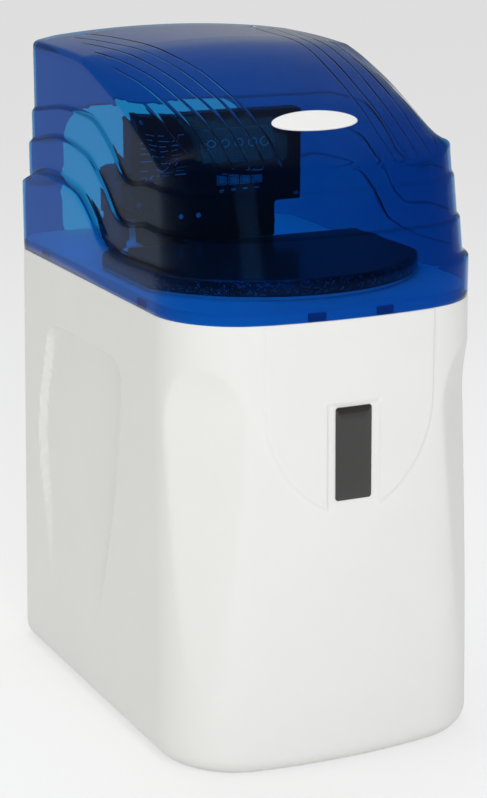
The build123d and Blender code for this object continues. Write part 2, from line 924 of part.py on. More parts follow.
def make_grid():
    """Perforated salt platform on its legs."""
    outline = Pos(0, 0, -grid_level) * tub_plan(grid_level, -wall - grid_inset)
    plate = prism(outline, grid_level, grid_level + grid_thickness)
    plate = plate & block(-base_width, base_width, -base_depth, tank_y - grid_cut, 0, cabinet_height)
    plate = plate - post(tank_radius + foot_wall + grid_gap, 0, cabinet_height, 0, tank_y)
    plate = plate - post(well_radius + seat, 0, cabinet_height, well_x, well_y)
    for row in range(-grid_rows, grid_rows + 1):
        for column in range(-grid_columns, grid_columns + 1):
            x = row * grid_pitch
            y = grid_centre_y + column * grid_pitch
            if math.hypot(x - well_x, y - well_y) > well_radius + grid_hole + grid_gap:
                plate = plate - post(grid_hole, grid_level, grid_level + grid_thickness, x, y)
    for x, y in grid_legs:
        plate = plate + post(grid_leg_radius, wall, grid_level, x, y)
    return plate


def make_well():
    """Brine well tube with slots near the floor."""
    tube = post(well_radius, wall, well_top, well_x, well_y)
    tube = tube - post(well_radius - well_wall, wall, well_top, well_x, well_y)
    half = slot_width / 2
    for turn in range(8):
        slot = block(well_radius - 2 * well_wall, well_radius + 1, -half, half, wall + 8, grid_level - 6)
        tube = tube - Pos(well_x, well_y, 0) * Rot(0, 0, 45 * turn) * slot
    return tube - rod_y(outlet_radius + running, well_y, well_y + 2 * well_radius, well_x, outlet_z)


def make_well_cap():
    """Push-on cap of the brine well, with a finger knob."""
    cap_top = well_top + cap_wall
    inside = well_radius + 2 * running
    cap = post(inside + cap_wall, well_top - cap_lip, cap_top, well_x, well_y)
    cap = cap - post(inside, well_top - cap_lip, well_top, well_x, well_y)
    knob = post(knob_radius, cap_top, cap_top + knob_height, well_x, well_y)
    return cap + fillet(knob.edges().group_by(Axis.Z)[-1], knob_radius / 3)


def make_safety_valve():
    """Body that the float shuts, with its side outlet and rod guide."""
    body = post(valve_shell_radius, safety_level, safety_level + safety_height, well_x, well_y)
    outlet = rod_y(outlet_radius, well_y, outlet_end, well_x, outlet_z)
    nut = rod_y(outlet_radius + 4, well_y + well_radius + running, outlet_end - 1, well_x, outlet_z)
    ear_low = safety_level + ear_height
    ear_end = well_x + rod_offset + ear_half
    ear = block(well_x, ear_end, well_y - ear_half, well_y + ear_half, ear_low, ear_low + ear_height)
    body = body + outlet + nut + ear
    bore = post(pickup_bore, safety_level, outlet_z, well_x, well_y)
    cross = rod_y(line_bore, well_y, outlet_end, well_x, outlet_z)
    guide = post(rod_radius + running, safety_level, ear_low + 2 * ear_height, well_x + rod_offset, well_y)
    return body - bore - cross - guide


def make_pickup():
    """Pickup tube between the air check and the safety valve."""
    tube = post(pickup_radius, air_high, safety_level, well_x, well_y)
    return tube - post(pickup_bore, air_high, safety_level, well_x, well_y)


def make_air_check():
    """Cage with a ball seat at the foot of the pickup tube."""
    cage = post(air_radius, air_low, air_high, well_x, well_y)
    cage = cage - post(air_radius - air_wall, air_low, air_high - 3 * air_wall, well_x, well_y)
    cage = cage - post(pickup_bore, air_low, air_high, well_x, well_y)
    for turn in range(3):
        slot = block(-air_radius - 1, air_radius + 1, -air_wall, air_wall, air_low + 10, air_high - 20)
        cage = cage - Pos(well_x, well_y, 0) * Rot(0, 0, 60 * turn) * slot
    return cage


def make_float():
    """Float that slides up the pickup tube."""
    body = post(float_radius, float_level, float_level + float_height, well_x, well_y)
    body = fillet(body.edges(), float_round)
    body = body - post(pickup_radius + float_gap, 0, cabinet_height, well_x, well_y)
    return body - post(rod_radius, 0, cabinet_height, well_x + rod_offset, well_y)


def make_float_rod():
    """Rod that the float carries up through the guide."""
    low, high = float_level - rod_end, safety_level + safety_height - rod_end
    return post(rod_radius, low, high, well_x + rod_offset, well_y)


def line_route():
    """Points of the brine line, from the brine well to the valve."""
    start = (well_x, outlet_end, outlet_z)
    leave = (well_x, outlet_end + line_leave, outlet_z)
    turn = (injector_x - line_swing, injector_y - line_short, outlet_z + line_turn_rise)
    rise = (injector_x, injector_y, line_end_z - line_straight)
    end = (injector_x, injector_y, line_end_z)
    return [start, leave, turn, rise, end]


def make_brine_line():
    """Brine tube along its route, in straight runs and tangent arcs."""
    points = [Vector(*p) for p in line_route()]
    radii = []
    for before, here, after in zip(points, points[1:], points[2:]):
        run = min((here - before).length, (after - here).length)
        turn = math.radians((here - before).get_angle(after - here))
        radii.append(0.45 * run / math.tan(turn / 2))
    path = FilletPolyline(*points, radius=radii)
    section = Plane(points[0], z_dir=points[1] - points[0]) * (Circle(line_radius) - Circle(line_bore))
    tube = sweep(section, path=path)
    print("brine line radii", [round(r, 1) for r in radii], "length", round(path.length, 1))
    area = math.pi * (line_radius**2 - line_bore**2)
    print("brine line volume", round(tube.volume, 1), "section times length", round(area * path.length, 1))
    return tube


def make_overflow():
    """Overflow barb in the rear pocket, with its flange."""
    start = pocket_floor - wall - overflow_inside
    barb = rod_y(barb_radius, start, overflow_end, pocket_mid_x, pocket_mid_z)
    rim_end = pocket_floor + flange_thickness
    flange = rod_y(barb_radius + barb_rim, pocket_floor, rim_end, pocket_mid_x, pocket_mid_z)
    hole = rod_y(barb_radius - barb_wall, start, overflow_end, pocket_mid_x, pocket_mid_z)
    return barb + flange - hole


def hexagon_y(across, bore, y0, y1, x, z):
    """Hexagon nut that lies front to back."""
    flat = RegularPolygon(across / 2, 6, major_radius=False) - Circle(bore)
    return along_y(flat, y0, y1, x, z)


def make_overflow_nut():
    """Nut that holds the overflow barb from inside."""
    y1 = pocket_floor - wall
    y0 = y1 - overflow_nut_height
    return hexagon_y(overflow_nut, barb_radius + running, y0, y1, pocket_mid_x, pocket_mid_z)


def make_valve_body():
    """Valve body: barrel, tank flange, lower block and rear ports."""
    front, rear = bore_y0 - barrel_rim, bore_y1 + barrel_end
    barrel = rod_y(valve_barrel, front, rear, 0, bore_z)
    low = block(-block_half, block_half, front, rear, flange_top, bore_z - block_under)
    flange = post(flange_radius, neck_top, flange_top, 0, tank_y)
    insert = post(neck_bore - running, neck_low + neck_gap, neck_top, 0, tank_y)
    body = barrel + low + flange + insert
    for x in (-port_x, port_x):
        body = body + rod_y(port_bore + port_wall, bore_y1 - port_wall, valve_back, x, pipe_z)
    body = body + rod_y(barb_radius + drain_wall, bore_y1, valve_back, 0, drain_z)
    for x, z in boss_places:
        body = body + rod_y(boss_radius, bracket_back, bore_y0, x, z)
    body = body - rod_y(bore_radius, front, bore_y1, 0, bore_z)
    for x in (-port_x, port_x):
        body = body - rod_y(port_bore, tank_y + riser_radius + barrel_rim, valve_back, x, pipe_z)
    body = body - rod_y(barb_radius - barb_wall, bore_y1 - 1, valve_back, 0, drain_z)
    body = body - post(riser_radius + running, neck_low, riser_top, 0, tank_y)
    body = body - post(riser_bore, riser_top, bore_z, 0, tank_y)
    body = body - post(basket_radius + 1, neck_low, neck_low + top_basket_above + 1, 0, tank_y)
    way_x = (riser_radius + neck_bore) / 2
    for turn in range(neck_ways):
        way = post(neck_way_radius, neck_low, flange_top + port_bore, way_x, 0)
        body = body - Pos(0, tank_y, 0) * Rot(0, 0, 360 * (turn + 0.5) / neck_ways) * way
    groove_top = neck_top + 2 * seal_cord + seat
    groove = post(seal_mid + seal_cord + seat, neck_top, groove_top, 0, tank_y)
    groove = groove - post(seal_mid - seal_cord - seat, neck_top, groove_top, 0, tank_y)
    body = body - groove
    for x, z in boss_places:
        body = body - rod_y(screw_radius, bracket_back, bore_y0 - 2, x, z)
    return body


def make_end_plug():
    """Plug that closes the bore and guides the piston rod."""
    rim = bore_y0 - barrel_rim
    plug = rod_y(bore_radius - running, rim, seal_start, 0, bore_z)
    head = rod_y(bore_radius + barrel_rim, bracket_back + seat, rim, 0, bore_z)
    return plug + head - rod_y(piston_rod_radius + running, head_y, bore_y1, 0, bore_z)


def make_seals():
    """Seal rings that the piston slides through."""
    rings = []
    for place in range(seal_count):
        y = seal_start + place * (seal_thickness + cage_length)
        ring = rod_y(bore_radius - running, y, y + seal_thickness, 0, bore_z)
        rings.append(ring - rod_y(piston_radius + running, y, y + seal_thickness, 0, bore_z))
    return rings


def make_cages():
    """Open spacer cages between the seal rings."""
    cages = []
    for place in range(seal_count - 1):
        y = seal_start + seal_thickness + place * (seal_thickness + cage_length)
        cage = rod_y(bore_radius - running, y, y + cage_length, 0, bore_z)
        cage = cage - rod_y(piston_radius + cage_rib, y, y + cage_length, 0, bore_z)
        y0, y1 = y + cage_rib, y + cage_length - cage_rib
        for turn in range(4):
            window = block(-2 * bore_radius, 2 * bore_radius, y0, y1, -cage_rib, cage_rib)
            cage = cage - Pos(0, 0, bore_z) * Rot(0, 45 * turn, 0) * window
        cages.append(cage)
    return cages


def make_piston():
    """Spool piston with two flow grooves."""
    spool = rod_y(piston_radius, piston_y, piston_y + piston_length, 0, bore_z)
    for share in (0.2, 0.6):
        y = piston_y + share * piston_length
        core = rod_y(piston_radius - groove_depth, y, y + groove_length, 0, bore_z)
        spool = spool - (rod_y(piston_radius + 1, y, y + groove_length, 0, bore_z) - core)
    return spool


def make_piston_rod():
    """Drive screw from the main gear to the piston."""
    return rod_y(piston_rod_radius, rod_front, piston_y, 0, bore_z)


def gear(teeth, module, phase):
    """Flat gear with straight-sided teeth; phase is the angle of one tooth."""
    pitch = module * teeth / 2
    root = pitch - 1.2 * module
    tip = pitch + 0.9 * module
    step = 2 * math.pi / teeth
    corners = []
    for tooth in range(teeth):
        middle = math.radians(phase) + tooth * step
        for radius, share in ((root, -0.31), (tip, -0.10), (tip, 0.10), (root, 0.31)):
            angle = middle + share * step
            corners.append((radius * math.cos(angle), radius * math.sin(angle)))
    return make_face(Polyline(*corners, close=True))


def make_drive_gear():
    """Main gear that turns on the drive screw."""
    teeth = along_y(gear(drive_teeth, gear_module, drive_angle), gear_y, gear_y + gear_face, 0, bore_z)
    hub = rod_y(hub_radius, gear_y - 2, bracket_back, 0, bore_z)
    return teeth + hub - rod_y(piston_rod_radius + running, gear_y - 2, bracket_back, 0, bore_z)


def make_reduction_gear():
    """Double gear between the motor and the main gear."""
    meet = fine_y + fine_face
    small_phase = drive_angle + 180 + 180 / pinion_teeth
    small_end = gear_y + gear_face + seat
    small = along_y(gear(pinion_teeth, gear_module, small_phase), meet, small_end, idle_x, idle_z)
    large = along_y(gear(fine_teeth, fine_module, motor_angle), fine_y, meet, idle_x, idle_z)
    return small + large - rod_y(axle_radius + running, fine_y, small_end, idle_x, idle_z)


def make_motor_pinion():
    """Pinion on the motor's shaft."""
    phase = motor_angle + 180 + 180 / pinion_teeth
    end = fine_y + fine_face
    teeth = along_y(gear(pinion_teeth, fine_module, phase), fine_y, end, motor_x, motor_z)
    return teeth + rod_y(shaft_radius, end, bracket_back + shaft_grip, motor_x, motor_z)


def make_motor():
    """Drive motor behind the bracket."""
    can = rod_y(motor_radius, bracket_back, bracket_back + motor_length, motor_x, motor_z)
    can = fillet(can.edges().sort_by(Axis.Y)[-1], motor_round)
    socket_end = bracket_back + shaft_grip + seat
    return can - rod_y(shaft_radius + running, bracket_back, socket_end, motor_x, motor_z)


def make_gear_axle():
    """Fixed pin of the double gear."""
    return rod_y(axle_radius, fine_y - 2, bracket_back, idle_x, idle_z)


def make_bracket():
    """Plate that carries the motor, the axle and the main gear's hub."""
    plate = block(-gear_room_half, gear_room_half, gear_back, bracket_back, room_low, room_high)
    plate = plate - rod_y(hub_radius + running, gear_back, bracket_back, 0, bore_z)
    plate = plate - rod_y(axle_radius, gear_back, bracket_back, idle_x, idle_z)
    plate = plate - rod_y(shaft_radius + shaft_room, gear_back, bracket_back, motor_x, motor_z)
    for x, z in boss_places:
        plate = plate - rod_y(screw_radius, gear_back, bracket_back, x, z)
    return plate


def head_outline(grow):
    """Front outline of the control head: a wide part and a stepped tail."""
    wide_z = (head_low + head_high) / 2
    tail_z = (tail_low + head_low) / 2
    tail_x = (tail_left + tail_right) / 2
    wide = Rectangle(2 * (head_half + grow), head_high - head_low + 2 * grow)
    tail = Rectangle(tail_right - tail_left + 2 * grow, head_low - tail_low + 2 * grow)
    both = Pos(0, wide_z) * wide + Pos(tail_x, tail_z) * tail
    return fillet(both.vertices(), head_corner + grow)


def key_places():
    """Centres of the keys."""
    return [(key_first_x + key_pitch * n, key_z) for n in range(key_count)]


def make_control_cover():
    """Front cover of the control head."""
    shell = along_y(head_outline(0), head_y, head_back)
    shell = fillet(shell.edges().group_by(Axis.Y)[0], head_round)
    shell = shell - along_y(head_outline(-head_wall), head_y + head_wall, head_back)
    shell = shell - block(*window_x, head_y, head_back, window_low, window_high)
    for x, z in key_places():
        half = key_size / 2 + key_clear
        shell = shell - block(x - half, x + half, head_y, head_back, z - half, z + half)
    for x in lamp_x:
        shell = shell - rod_y(lamp_radius + running, head_y, head_back, x, lamp_z)
    shell = shell - rod_x(jack_radius + running, tail_right - jack_depth, tail_right + 1, jack_y, jack_z)
    for x, z in cover_screw_places:
        shell = shell - rod_y(cover_screw_radius + running, head_y, head_back, x, z)
    return shell


def make_control_back():
    """Rear half of the control head with the gear room and board posts."""
    plate = along_y(head_outline(-seat), head_back, head_back + head_wall)
    half, inside = gear_room_half, gear_room_half - head_wall
    y0 = head_back + head_wall
    room = block(-half, half, y0, gear_back, room_low, room_high)
    hollow = block(-inside, inside, y0, gear_back, room_low + head_wall, room_high - head_wall)
    back = plate + (room - hollow)
    for x, z in board_posts:
        back = back + rod_y(post_radius, board_back, head_back, x, z)
    for x, z in cover_screw_places:
        back = back + rod_y(post_radius, head_y + head_wall, head_back, x, z)
    for x, z in cover_screw_places:
        back = back - rod_y(cover_screw_radius, head_y, head_back + head_wall, x, z)
    return back - rod_y(piston_rod_radius + shaft_room, head_back, head_back + head_wall, 0, bore_z)


def make_board():
    """Circuit board with its display module and key switches."""
    board = block(-board_half, board_half, board_front, board_back, board_low, board_high)
    module = block(
        window_x[0] + display_margin,
        window_x[1] - display_margin,
        head_y + head_wall + seat,
        board_front,
        window_low + display_margin,
        window_high - display_margin,
    )
    board = board + module
    for x, z in key_places():
        switch = Box(2 * switch_half, board_front - switch_y, 2 * switch_half)
        board = board + Pos(x, (switch_y + board_front) / 2, z) * switch
    return board


def make_window():
    """Clear pane over the display."""
    x0, x1 = window_x[0] + running, window_x[1] - running
    z0, z1 = window_low + running, window_high - running
    return block(x0, x1, head_y + window_sunk, head_y + head_wall, z0, z1)


def make_key(x, z):
    """Square key with a flange behind the cover."""
    half = key_size / 2
    cap = block(x - half, x + half, head_y - key_proud, key_lip_y, z - half, z + half)
    cap = fillet(cap.edges().group_by(Axis.Y)[0], key_round)
    lip = half + key_lip
    return cap + block(x - lip, x + lip, key_lip_y, key_lip_y + key_lip_thickness, z - lip, z + lip)


def make_lamps():
    """Two indicator lenses in the tail of the cover."""
    return [rod_y(lamp_radius, head_y - lamp_proud, board_front, x, lamp_z) for x in lamp_x]


def make_jack():
    """Socket for the power lead, in the side of the tail."""
    rim_end = tail_right + jack_rim
    body = rod_x(jack_radius, tail_right - jack_length, tail_right, jack_y, jack_z)
    rim = rod_x(jack_radius + jack_rim, tail_right, rim_end, jack_y, jack_z)
    return body + rim - rod_x(jack_bore, rim_end - jack_depth, rim_end, jack_y, jack_z)


def make_screws():
    """Screws of the bracket and of the control cover."""
    screws = []
    for x, z in boss_places:
        shank = rod_y(screw_radius - running, gear_back, bore_y0 - 3, x, z)
        screws.append(shank + rod_y(2 * screw_radius, gear_back - screw_head, gear_back, x, z))
    for x, z in cover_screw_places:
        shank = rod_y(cover_screw_radius - running, head_y, head_back, x, z)
        screws.append(shank + rod_y(2 * cover_screw_radius, head_y - screw_head, head_y, x, z))
    return screws


def make_injector():
    """Stacked injector housing beside the valve, with its arm."""
    waist = injector_low + injector_foot
    shoulder = waist + injector_waist
    body = post(injector_radius, injector_low, waist, injector_x, injector_y)
    body = body + post(injector_radius - injector_step, waist, shoulder, injector_x, injector_y)
    body = body + post(injector_radius, shoulder, injector_top, injector_x, injector_y)
    arm_low, arm_high = pipe_z - arm_under, pipe_z + arm_over
    body = body + block(injector_x, -block_half, arm_y, arm_y + arm_depth, arm_low, arm_high)
    line_top = injector_low + 2 * line_grip
    body = body - post(nozzle_radius + running, line_top, injector_top, injector_x, injector_y)
    body = body - post(line_radius + running, injector_low, line_top, injector_x, injector_y)
    return body - rod_x(arm_bore, injector_x, -block_half, arm_y + arm_depth / 2, pipe_z + 2 * arm_bore)


def make_nozzle():
    """Injector nozzle inside its housing."""
    z0, z1 = nozzle_low, nozzle_low + nozzle_length
    body = post(nozzle_radius, z0, z1, injector_x, injector_y)
    body = body - post(nozzle_throat, z0, z1, injector_x, injector_y)
    mouth = Cone(nozzle_radius - 1, nozzle_throat, 2 * nozzle_radius)
    return body - Pos(injector_x, injector_y, z0 + nozzle_radius) * mouth


def make_injector_cap():
    """Screw cap on top of the injector housing."""
    radius = injector_radius - injector_cap_step
    cap = post(radius, injector_top, injector_top + injector_cap_height, injector_x, injector_y)
    cap = fillet(cap.edges().group_by(Axis.Z)[-1], injector_cap_round)
    for turn in range(cap_ribs):
        rib = post(cap_rib_radius, injector_top + 2, injector_top + cap_rib_height, radius, 0)
        cap = cap + Pos(injector_x, injector_y, 0) * Rot(0, 0, 360 * turn / cap_ribs) * rib
    return cap


def make_line_nut():
    """Nut that holds the brine line in the injector housing."""
    flat = RegularPolygon(line_nut_half, 6, major_radius=False) - Circle(line_radius + running)
    return Pos(injector_x, injector_y, 0) * prism(flat, injector_low - line_nut_height, injector_low)


def make_drain():
    """Drain barb at the back of the valve."""
    barb = rod_y(barb_radius, valve_back, drain_end, 0, drain_z)
    rim = rod_y(barb_radius + barb_rim, valve_back, valve_back + 2 * flange_thickness, 0, drain_z)
    return barb + rim - rod_y(barb_radius - barb_wall, valve_back, drain_end, 0, drain_z)


def make_impeller():
    """Turbine of the water meter, in the outlet port."""
    y0 = valve_back - meter_inset
    y1 = y0 + meter_length
    hub = rod_y(meter_hub, y0, y1, port_x, pipe_z)
    for turn in range(meter_blades):
        blade = block(0, meter_radius, y0 + 1, y1 - 1, -blade_half, blade_half)
        hub = hub + Pos(port_x, 0, pipe_z) * Rot(0, 360 * turn / meter_blades, 0) * blade
    return hub


def make_bypass():
    """Bypass block between the valve and the pipes."""
    y0, y1 = valve_back, valve_back + bypass_depth
    body = block(-port_x - bypass_side, port_x + bypass_side, y0, y1, bypass_low, bypass_top)
    body = fillet(body.edges().filter_by(Axis.Y), bypass_round)
    for x in (-port_x, port_x):
        body = body - rod_y(rotor_hole, y0, y1, x, pipe_z)
        body = body - post(rotor_radius + running, bypass_low + bypass_floor, bypass_top, x, (y0 + y1) / 2)
    return body - rod_x(cross_bore, -port_x, port_x, (y0 + y1) / 2, pipe_z)


def make_rotor(x):
    """Bypass rotor with its handle."""
    y = valve_back + bypass_depth / 2
    low, high = bypass_low + bypass_floor + seat, bypass_top + seat
    plug = post(rotor_radius, low, high, x, y)
    plug = plug - rod_y(rotor_hole, y - 2 * rotor_radius, y + 2 * rotor_radius, x, pipe_z)
    disc_top = high + disc_height
    disc = post(rotor_radius + disc_rim, high, disc_top, x, y)
    bar = Pos(x, y, disc_top + bar_height / 2) * Box(2 * bar_half, 2 * rotor_radius, bar_height)
    bar = fillet(bar.edges().group_by(Axis.Z)[-1], bar_half / 2)
    return plug + disc + bar


def make_pipe_ends():
    """Threaded inlet and outlet."""
    ends = []
    y0 = valve_back + bypass_depth
    for x in (-port_x, port_x):
        collar = rod_y(thread_radius + pipe_rim, y0, y0 + pipe_rim_thickness, x, pipe_z)
        end = collar + rod_y(thread_radius, y0, pipe_end, x, pipe_z)
        ends.append(end - rod_y(pipe_bore, y0, pipe_end, x, pipe_z))
    return ends


def make_clips():
    """Spring clips round the flanges of the pipe ends."""
    clips = []
    y0 = valve_back + bypass_depth
    for x in (-port_x, port_x):
        outer = rod_y(thread_radius + pipe_rim + clip_wall, y0, y0 + clip_width, x, pipe_z)
        ring = outer - rod_y(thread_radius + pipe_rim + running, y0, y0 + clip_width, x, pipe_z)
        gap = block(x - clip_gap, x + clip_gap, y0, y0 + clip_width, bypass_low - bypass_depth, pipe_z)
        clips.append(ring - gap)
    return clips


def save(node, shape):
    """Write one sub-part, a single solid or a group of them."""
    solids = shape if isinstance(shape, list) else [shape]
    loose = [s for item in solids for s in item.solids()]
    whole = loose[0] if len(loose) == 1 else Compound(children=loose)
    export_step(whole, os.path.join("parts", node + ".step"))


os.makedirs("parts", exist_ok=True)
save("cabinet_shell", make_cabinet())
save("front_plate", make_front_plate())
save("top_deck", make_deck())
save("salt_lid", make_lid())
save("hood_cover", make_hood())
save("hood_badge", make_badge())
save("hood_pads", make_pads())
save("tank_shell", make_tank())
save("tank_foot", make_tank_foot())
save("riser_tube", make_riser())
save("bottom_basket", basket(basket_low, basket_low + basket_height, riser_radius))
save("top_basket", basket(neck_low - top_basket_below, neck_low + top_basket_above, riser_radius))
save("resin_bed", make_resin())
save("tank_seal", make_tank_seal())
save("salt_grid", make_grid())
save("brine_well", make_well())
save("brine_well_cap", make_well_cap())
save("safety_valve", make_safety_valve())
save("pickup_tube", make_pickup())
save("air_check", make_air_check())
save("brine_float", make_float())
save("float_rod", make_float_rod())
save("brine_line", make_brine_line())
save("overflow_barb", make_overflow())
save("overflow_nut", make_overflow_nut())
save("valve_body", make_valve_body())
save("end_plug", make_end_plug())
save("seal_rings", make_seals())
save("spacer_cages", make_cages())
save("valve_piston", make_piston())
save("piston_rod", make_piston_rod())
save("drive_gear", make_drive_gear())
save("reduction_gear", make_reduction_gear())
save("motor_pinion", make_motor_pinion())
save("drive_motor", make_motor())
save("gear_axle", make_gear_axle())
save("drive_bracket", make_bracket())
save("control_cover", make_control_cover())
save("control_back", make_control_back())
save("circuit_board", make_board())
save("display_window", make_window())
for number, place in enumerate(key_places(), start=1):
    save("key_" + str(number), make_key(*place))
save("indicator_lamps", make_lamps())
save("power_socket", make_jack())
save("valve_screws", make_screws())
save("injector_housing", make_injector())
save("injector_nozzle", make_nozzle())
save("injector_cap", make_injector_cap())
save("line_nut", make_line_nut())
save("drain_barb", make_drain())
save("meter_impeller", make_impeller())
save("bypass_block", make_bypass())
save("bypass_rotor_inlet", make_rotor(-port_x))
save("bypass_rotor_outlet", make_rotor(port_x))
save("pipe_ends", make_pipe_ends())
save("pipe_clips", make_clips())
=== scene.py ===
"""Cabinet water softener: a white moulded tub under a translucent blue hood.

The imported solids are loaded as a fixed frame. Each sub-assembly below is a class that
builds the meshes which the eye sees, and every remaining solid gets its finish.
Lengths in the classes are millimetres, and `MM` turns them into metres.
"""

import logging
import math
from dataclasses import dataclass, field
from enum import Enum
from typing import Callable, Sequence

import bmesh
import bpy
import numpy as np
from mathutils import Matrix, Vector
from mathutils.geometry import delaunay_2d_cdt


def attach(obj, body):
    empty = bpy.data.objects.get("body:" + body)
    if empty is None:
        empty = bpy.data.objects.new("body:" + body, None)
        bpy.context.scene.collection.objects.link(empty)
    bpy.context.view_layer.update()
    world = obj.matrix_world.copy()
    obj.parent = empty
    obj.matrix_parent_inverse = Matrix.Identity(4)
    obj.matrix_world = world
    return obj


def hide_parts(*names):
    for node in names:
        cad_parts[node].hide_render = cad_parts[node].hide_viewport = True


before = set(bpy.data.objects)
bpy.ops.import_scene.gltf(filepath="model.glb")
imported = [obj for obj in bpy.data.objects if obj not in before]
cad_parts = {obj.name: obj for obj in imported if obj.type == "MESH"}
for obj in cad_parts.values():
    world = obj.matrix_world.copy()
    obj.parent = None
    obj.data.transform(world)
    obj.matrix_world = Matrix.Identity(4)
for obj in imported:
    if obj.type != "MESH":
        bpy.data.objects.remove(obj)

log = logging.getLogger("softener")
MM = 0.001
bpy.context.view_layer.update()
INLAND = 90.0  # distance from the roof's edge at which its facet has ended

Pair = tuple[float, float]
Triple = tuple[float, float, float]
Socket = bpy.types.NodeSocket


class Way(Enum):
    """What a tool does to a mesh."""

    AWAY = "DIFFERENCE"
    ADD = "UNION"


def smooth(value: np.ndarray) -> np.ndarray:
    """Ease from 0 to 1 with level ends."""
    t = np.clip(value, 0.0, 1.0)
    return t * t * (3 - 2 * t)


@dataclass(frozen=True)
class Curve:
    """A smooth line through a few points, given as y at each x.

    Attributes:
        knots: Pairs of x and y, in rising x.
    """

    knots: tuple[Pair, ...]

    def at(self, x: np.ndarray) -> np.ndarray:
        """Height of the curve.

        Args:
            x: Places along the curve, held at its ends.

        Returns:
            The curve's value at each place.
        """
        px = np.array([k[0] for k in self.knots])
        py = np.array([k[1] for k in self.knots])
        slope = np.gradient(py, px)
        x = np.clip(np.asarray(x, float), px[0], px[-1])
        i = np.clip(np.searchsorted(px, x) - 1, 0, len(px) - 2)
        step = px[i + 1] - px[i]
        t = (x - px[i]) / step
        a = (1 + 2 * t) * (1 - t) ** 2 * py[i] + t * (1 - t) ** 2 * step * slope[i]
        b = t * t * (3 - 2 * t) * py[i + 1] + t * t * (t - 1) * step * slope[i + 1]
        return a + b


@dataclass(frozen=True)
class Outline:
    """Plan of the tub or hood: bowed front, straight sides and back, round corners.

    Attributes:
        half: Half of the width.
        front: Y of the middle of the bowed front.
        back: Y of the back.
        bow: Radius of the front.
        front_corner: Radius of the front corners.
        back_corner: Radius of the back corners.
    """

    half: float
    front: float
    back: float
    bow: float = 600.0
    front_corner: float = 88.0
    back_corner: float = 40.0

    def ring(self, counts: Sequence[int]) -> np.ndarray:
        """Points and outward normals once round the outline.

        Args:
            counts: Steps on the bow, front corner, side, back corner and back of one half.

        Returns:
            An array of x, y, normal x, normal y, from the middle of the front.
        """
        rf, rb = self.front_corner, self.back_corner
        cx = self.half - rf
        cy = self.front + self.bow - math.sqrt((self.bow - rf) ** 2 - cx**2)
        turn = math.asin(cx / (self.bow - rf))
        rows = []

        def arc(x: float, y: float, radius: float, start: float, end: float, count: int) -> None:
            """Add one arc, with its angles from the front.

            Args:
                x: X of its middle.
                y: Y of its middle.
                radius: Its radius.
                start: Angle of its start.
                end: Angle of its end.
                count: Its steps.
            """
            for a in np.linspace(start, end, count, endpoint=False):
                s, c = math.sin(a), math.cos(a)
                rows.append((x + radius * s, y - radius * c, s, -c))

        arc(0.0, self.front + self.bow, self.bow, 0.0, turn, counts[0])
        arc(cx, cy, rf, turn, math.pi / 2, counts[1])
        for y in np.linspace(cy, self.back - rb, counts[2], endpoint=False):
            rows.append((self.half, y, 1.0, 0.0))
        arc(self.half - rb, self.back - rb, rb, math.pi / 2, math.pi, counts[3])
        for x in np.linspace(self.half - rb, 0, counts[4] + 1):
            rows.append((x, self.back, 0.0, 1.0))
        right = np.array(rows)
        left = right[-2:0:-1] * np.array([-1, 1, -1, 1])
        return np.vstack([right, left])


def mesh_object(name: str, verts: np.ndarray, faces: Sequence[Sequence[int]]) -> bpy.types.Object:
    """Make an object from points in millimetres.

    Args:
        name: Name of the object.
        verts: Points, one per row.
        faces: Corner numbers of each face.

    Returns:
        The new object, smooth shaded.
    """
    mesh = bpy.data.meshes.new(name)
    mesh.from_pydata((np.asarray(verts) * MM).tolist(), [], [list(f) for f in faces])
    mesh.validate()
    mesh.shade_smooth()
    piece = bpy.data.objects.new(name, mesh)
    bpy.context.scene.collection.objects.link(piece)
    return piece


def ring_faces(rows: int, count: int, closed: bool = False) -> list[tuple[int, ...]]:
    """Faces between rings of equal length whose points follow each other.

    Args:
        rows: Number of rings.
        count: Points in each ring.
        closed: Whether the last ring joins the first.

    Returns:
        The faces.
    """
    faces = []
    for row in range(rows if closed else rows - 1):
        a, b = row * count, (row + 1) % rows * count
        for i in range(count):
            j = (i + 1) % count
            faces.append((a + i, a + j, b + j, b + i))
    return faces


def loop_grid(name: str, rings: Sequence[np.ndarray]) -> bpy.types.Object:
    """Skin a closed solid over rings of equal length; the first and last are nearly points.

    Args:
        name: Name of the object.
        rings: Arrays of points, each once round the solid.

    Returns:
        The skinned object with outward faces and closed ends.
    """
    piece = mesh_object(name, np.vstack(rings), ring_faces(len(rings), len(rings[0])))
    clean(piece)
    form = bmesh.new()
    form.from_mesh(piece.data)
    bmesh.ops.holes_fill(form, edges=[e for e in form.edges if e.is_boundary], sides=0)
    bmesh.ops.recalc_face_normals(form, faces=form.faces)
    form.to_mesh(piece.data)
    form.free()
    return piece


def clean(piece: bpy.types.Object, gap: float = 1e-6) -> None:
    """Weld doubled points and turn the faces outwards.

    Args:
        piece: The mesh object.
        gap: Distance in metres under which points are one.
    """
    form = bmesh.new()
    form.from_mesh(piece.data)
    bmesh.ops.remove_doubles(form, verts=form.verts, dist=gap)
    bmesh.ops.dissolve_degenerate(form, edges=form.edges, dist=gap / 10)
    bmesh.ops.recalc_face_normals(form, faces=form.faces)
    form.to_mesh(piece.data)
    form.free()


def cut(piece: bpy.types.Object, tool: bpy.types.Object, way: Way = Way.AWAY) -> None:
    """Subtract or add one closed mesh, apply that and delete the tool.

    Args:
        piece: The mesh that stays.
        tool: The mesh that is taken away or added.
        way: Whether it is taken away or added.
    """
    modifier = piece.modifiers.new("cut", "BOOLEAN")
    modifier.operation = way.value
    modifier.solver = "EXACT"
    modifier.object = tool
    graph = bpy.context.evaluated_depsgraph_get()
    mesh = bpy.data.meshes.new_from_object(piece.evaluated_get(graph))
    piece.modifiers.clear()
    piece.data = mesh
    bpy.data.objects.remove(tool)


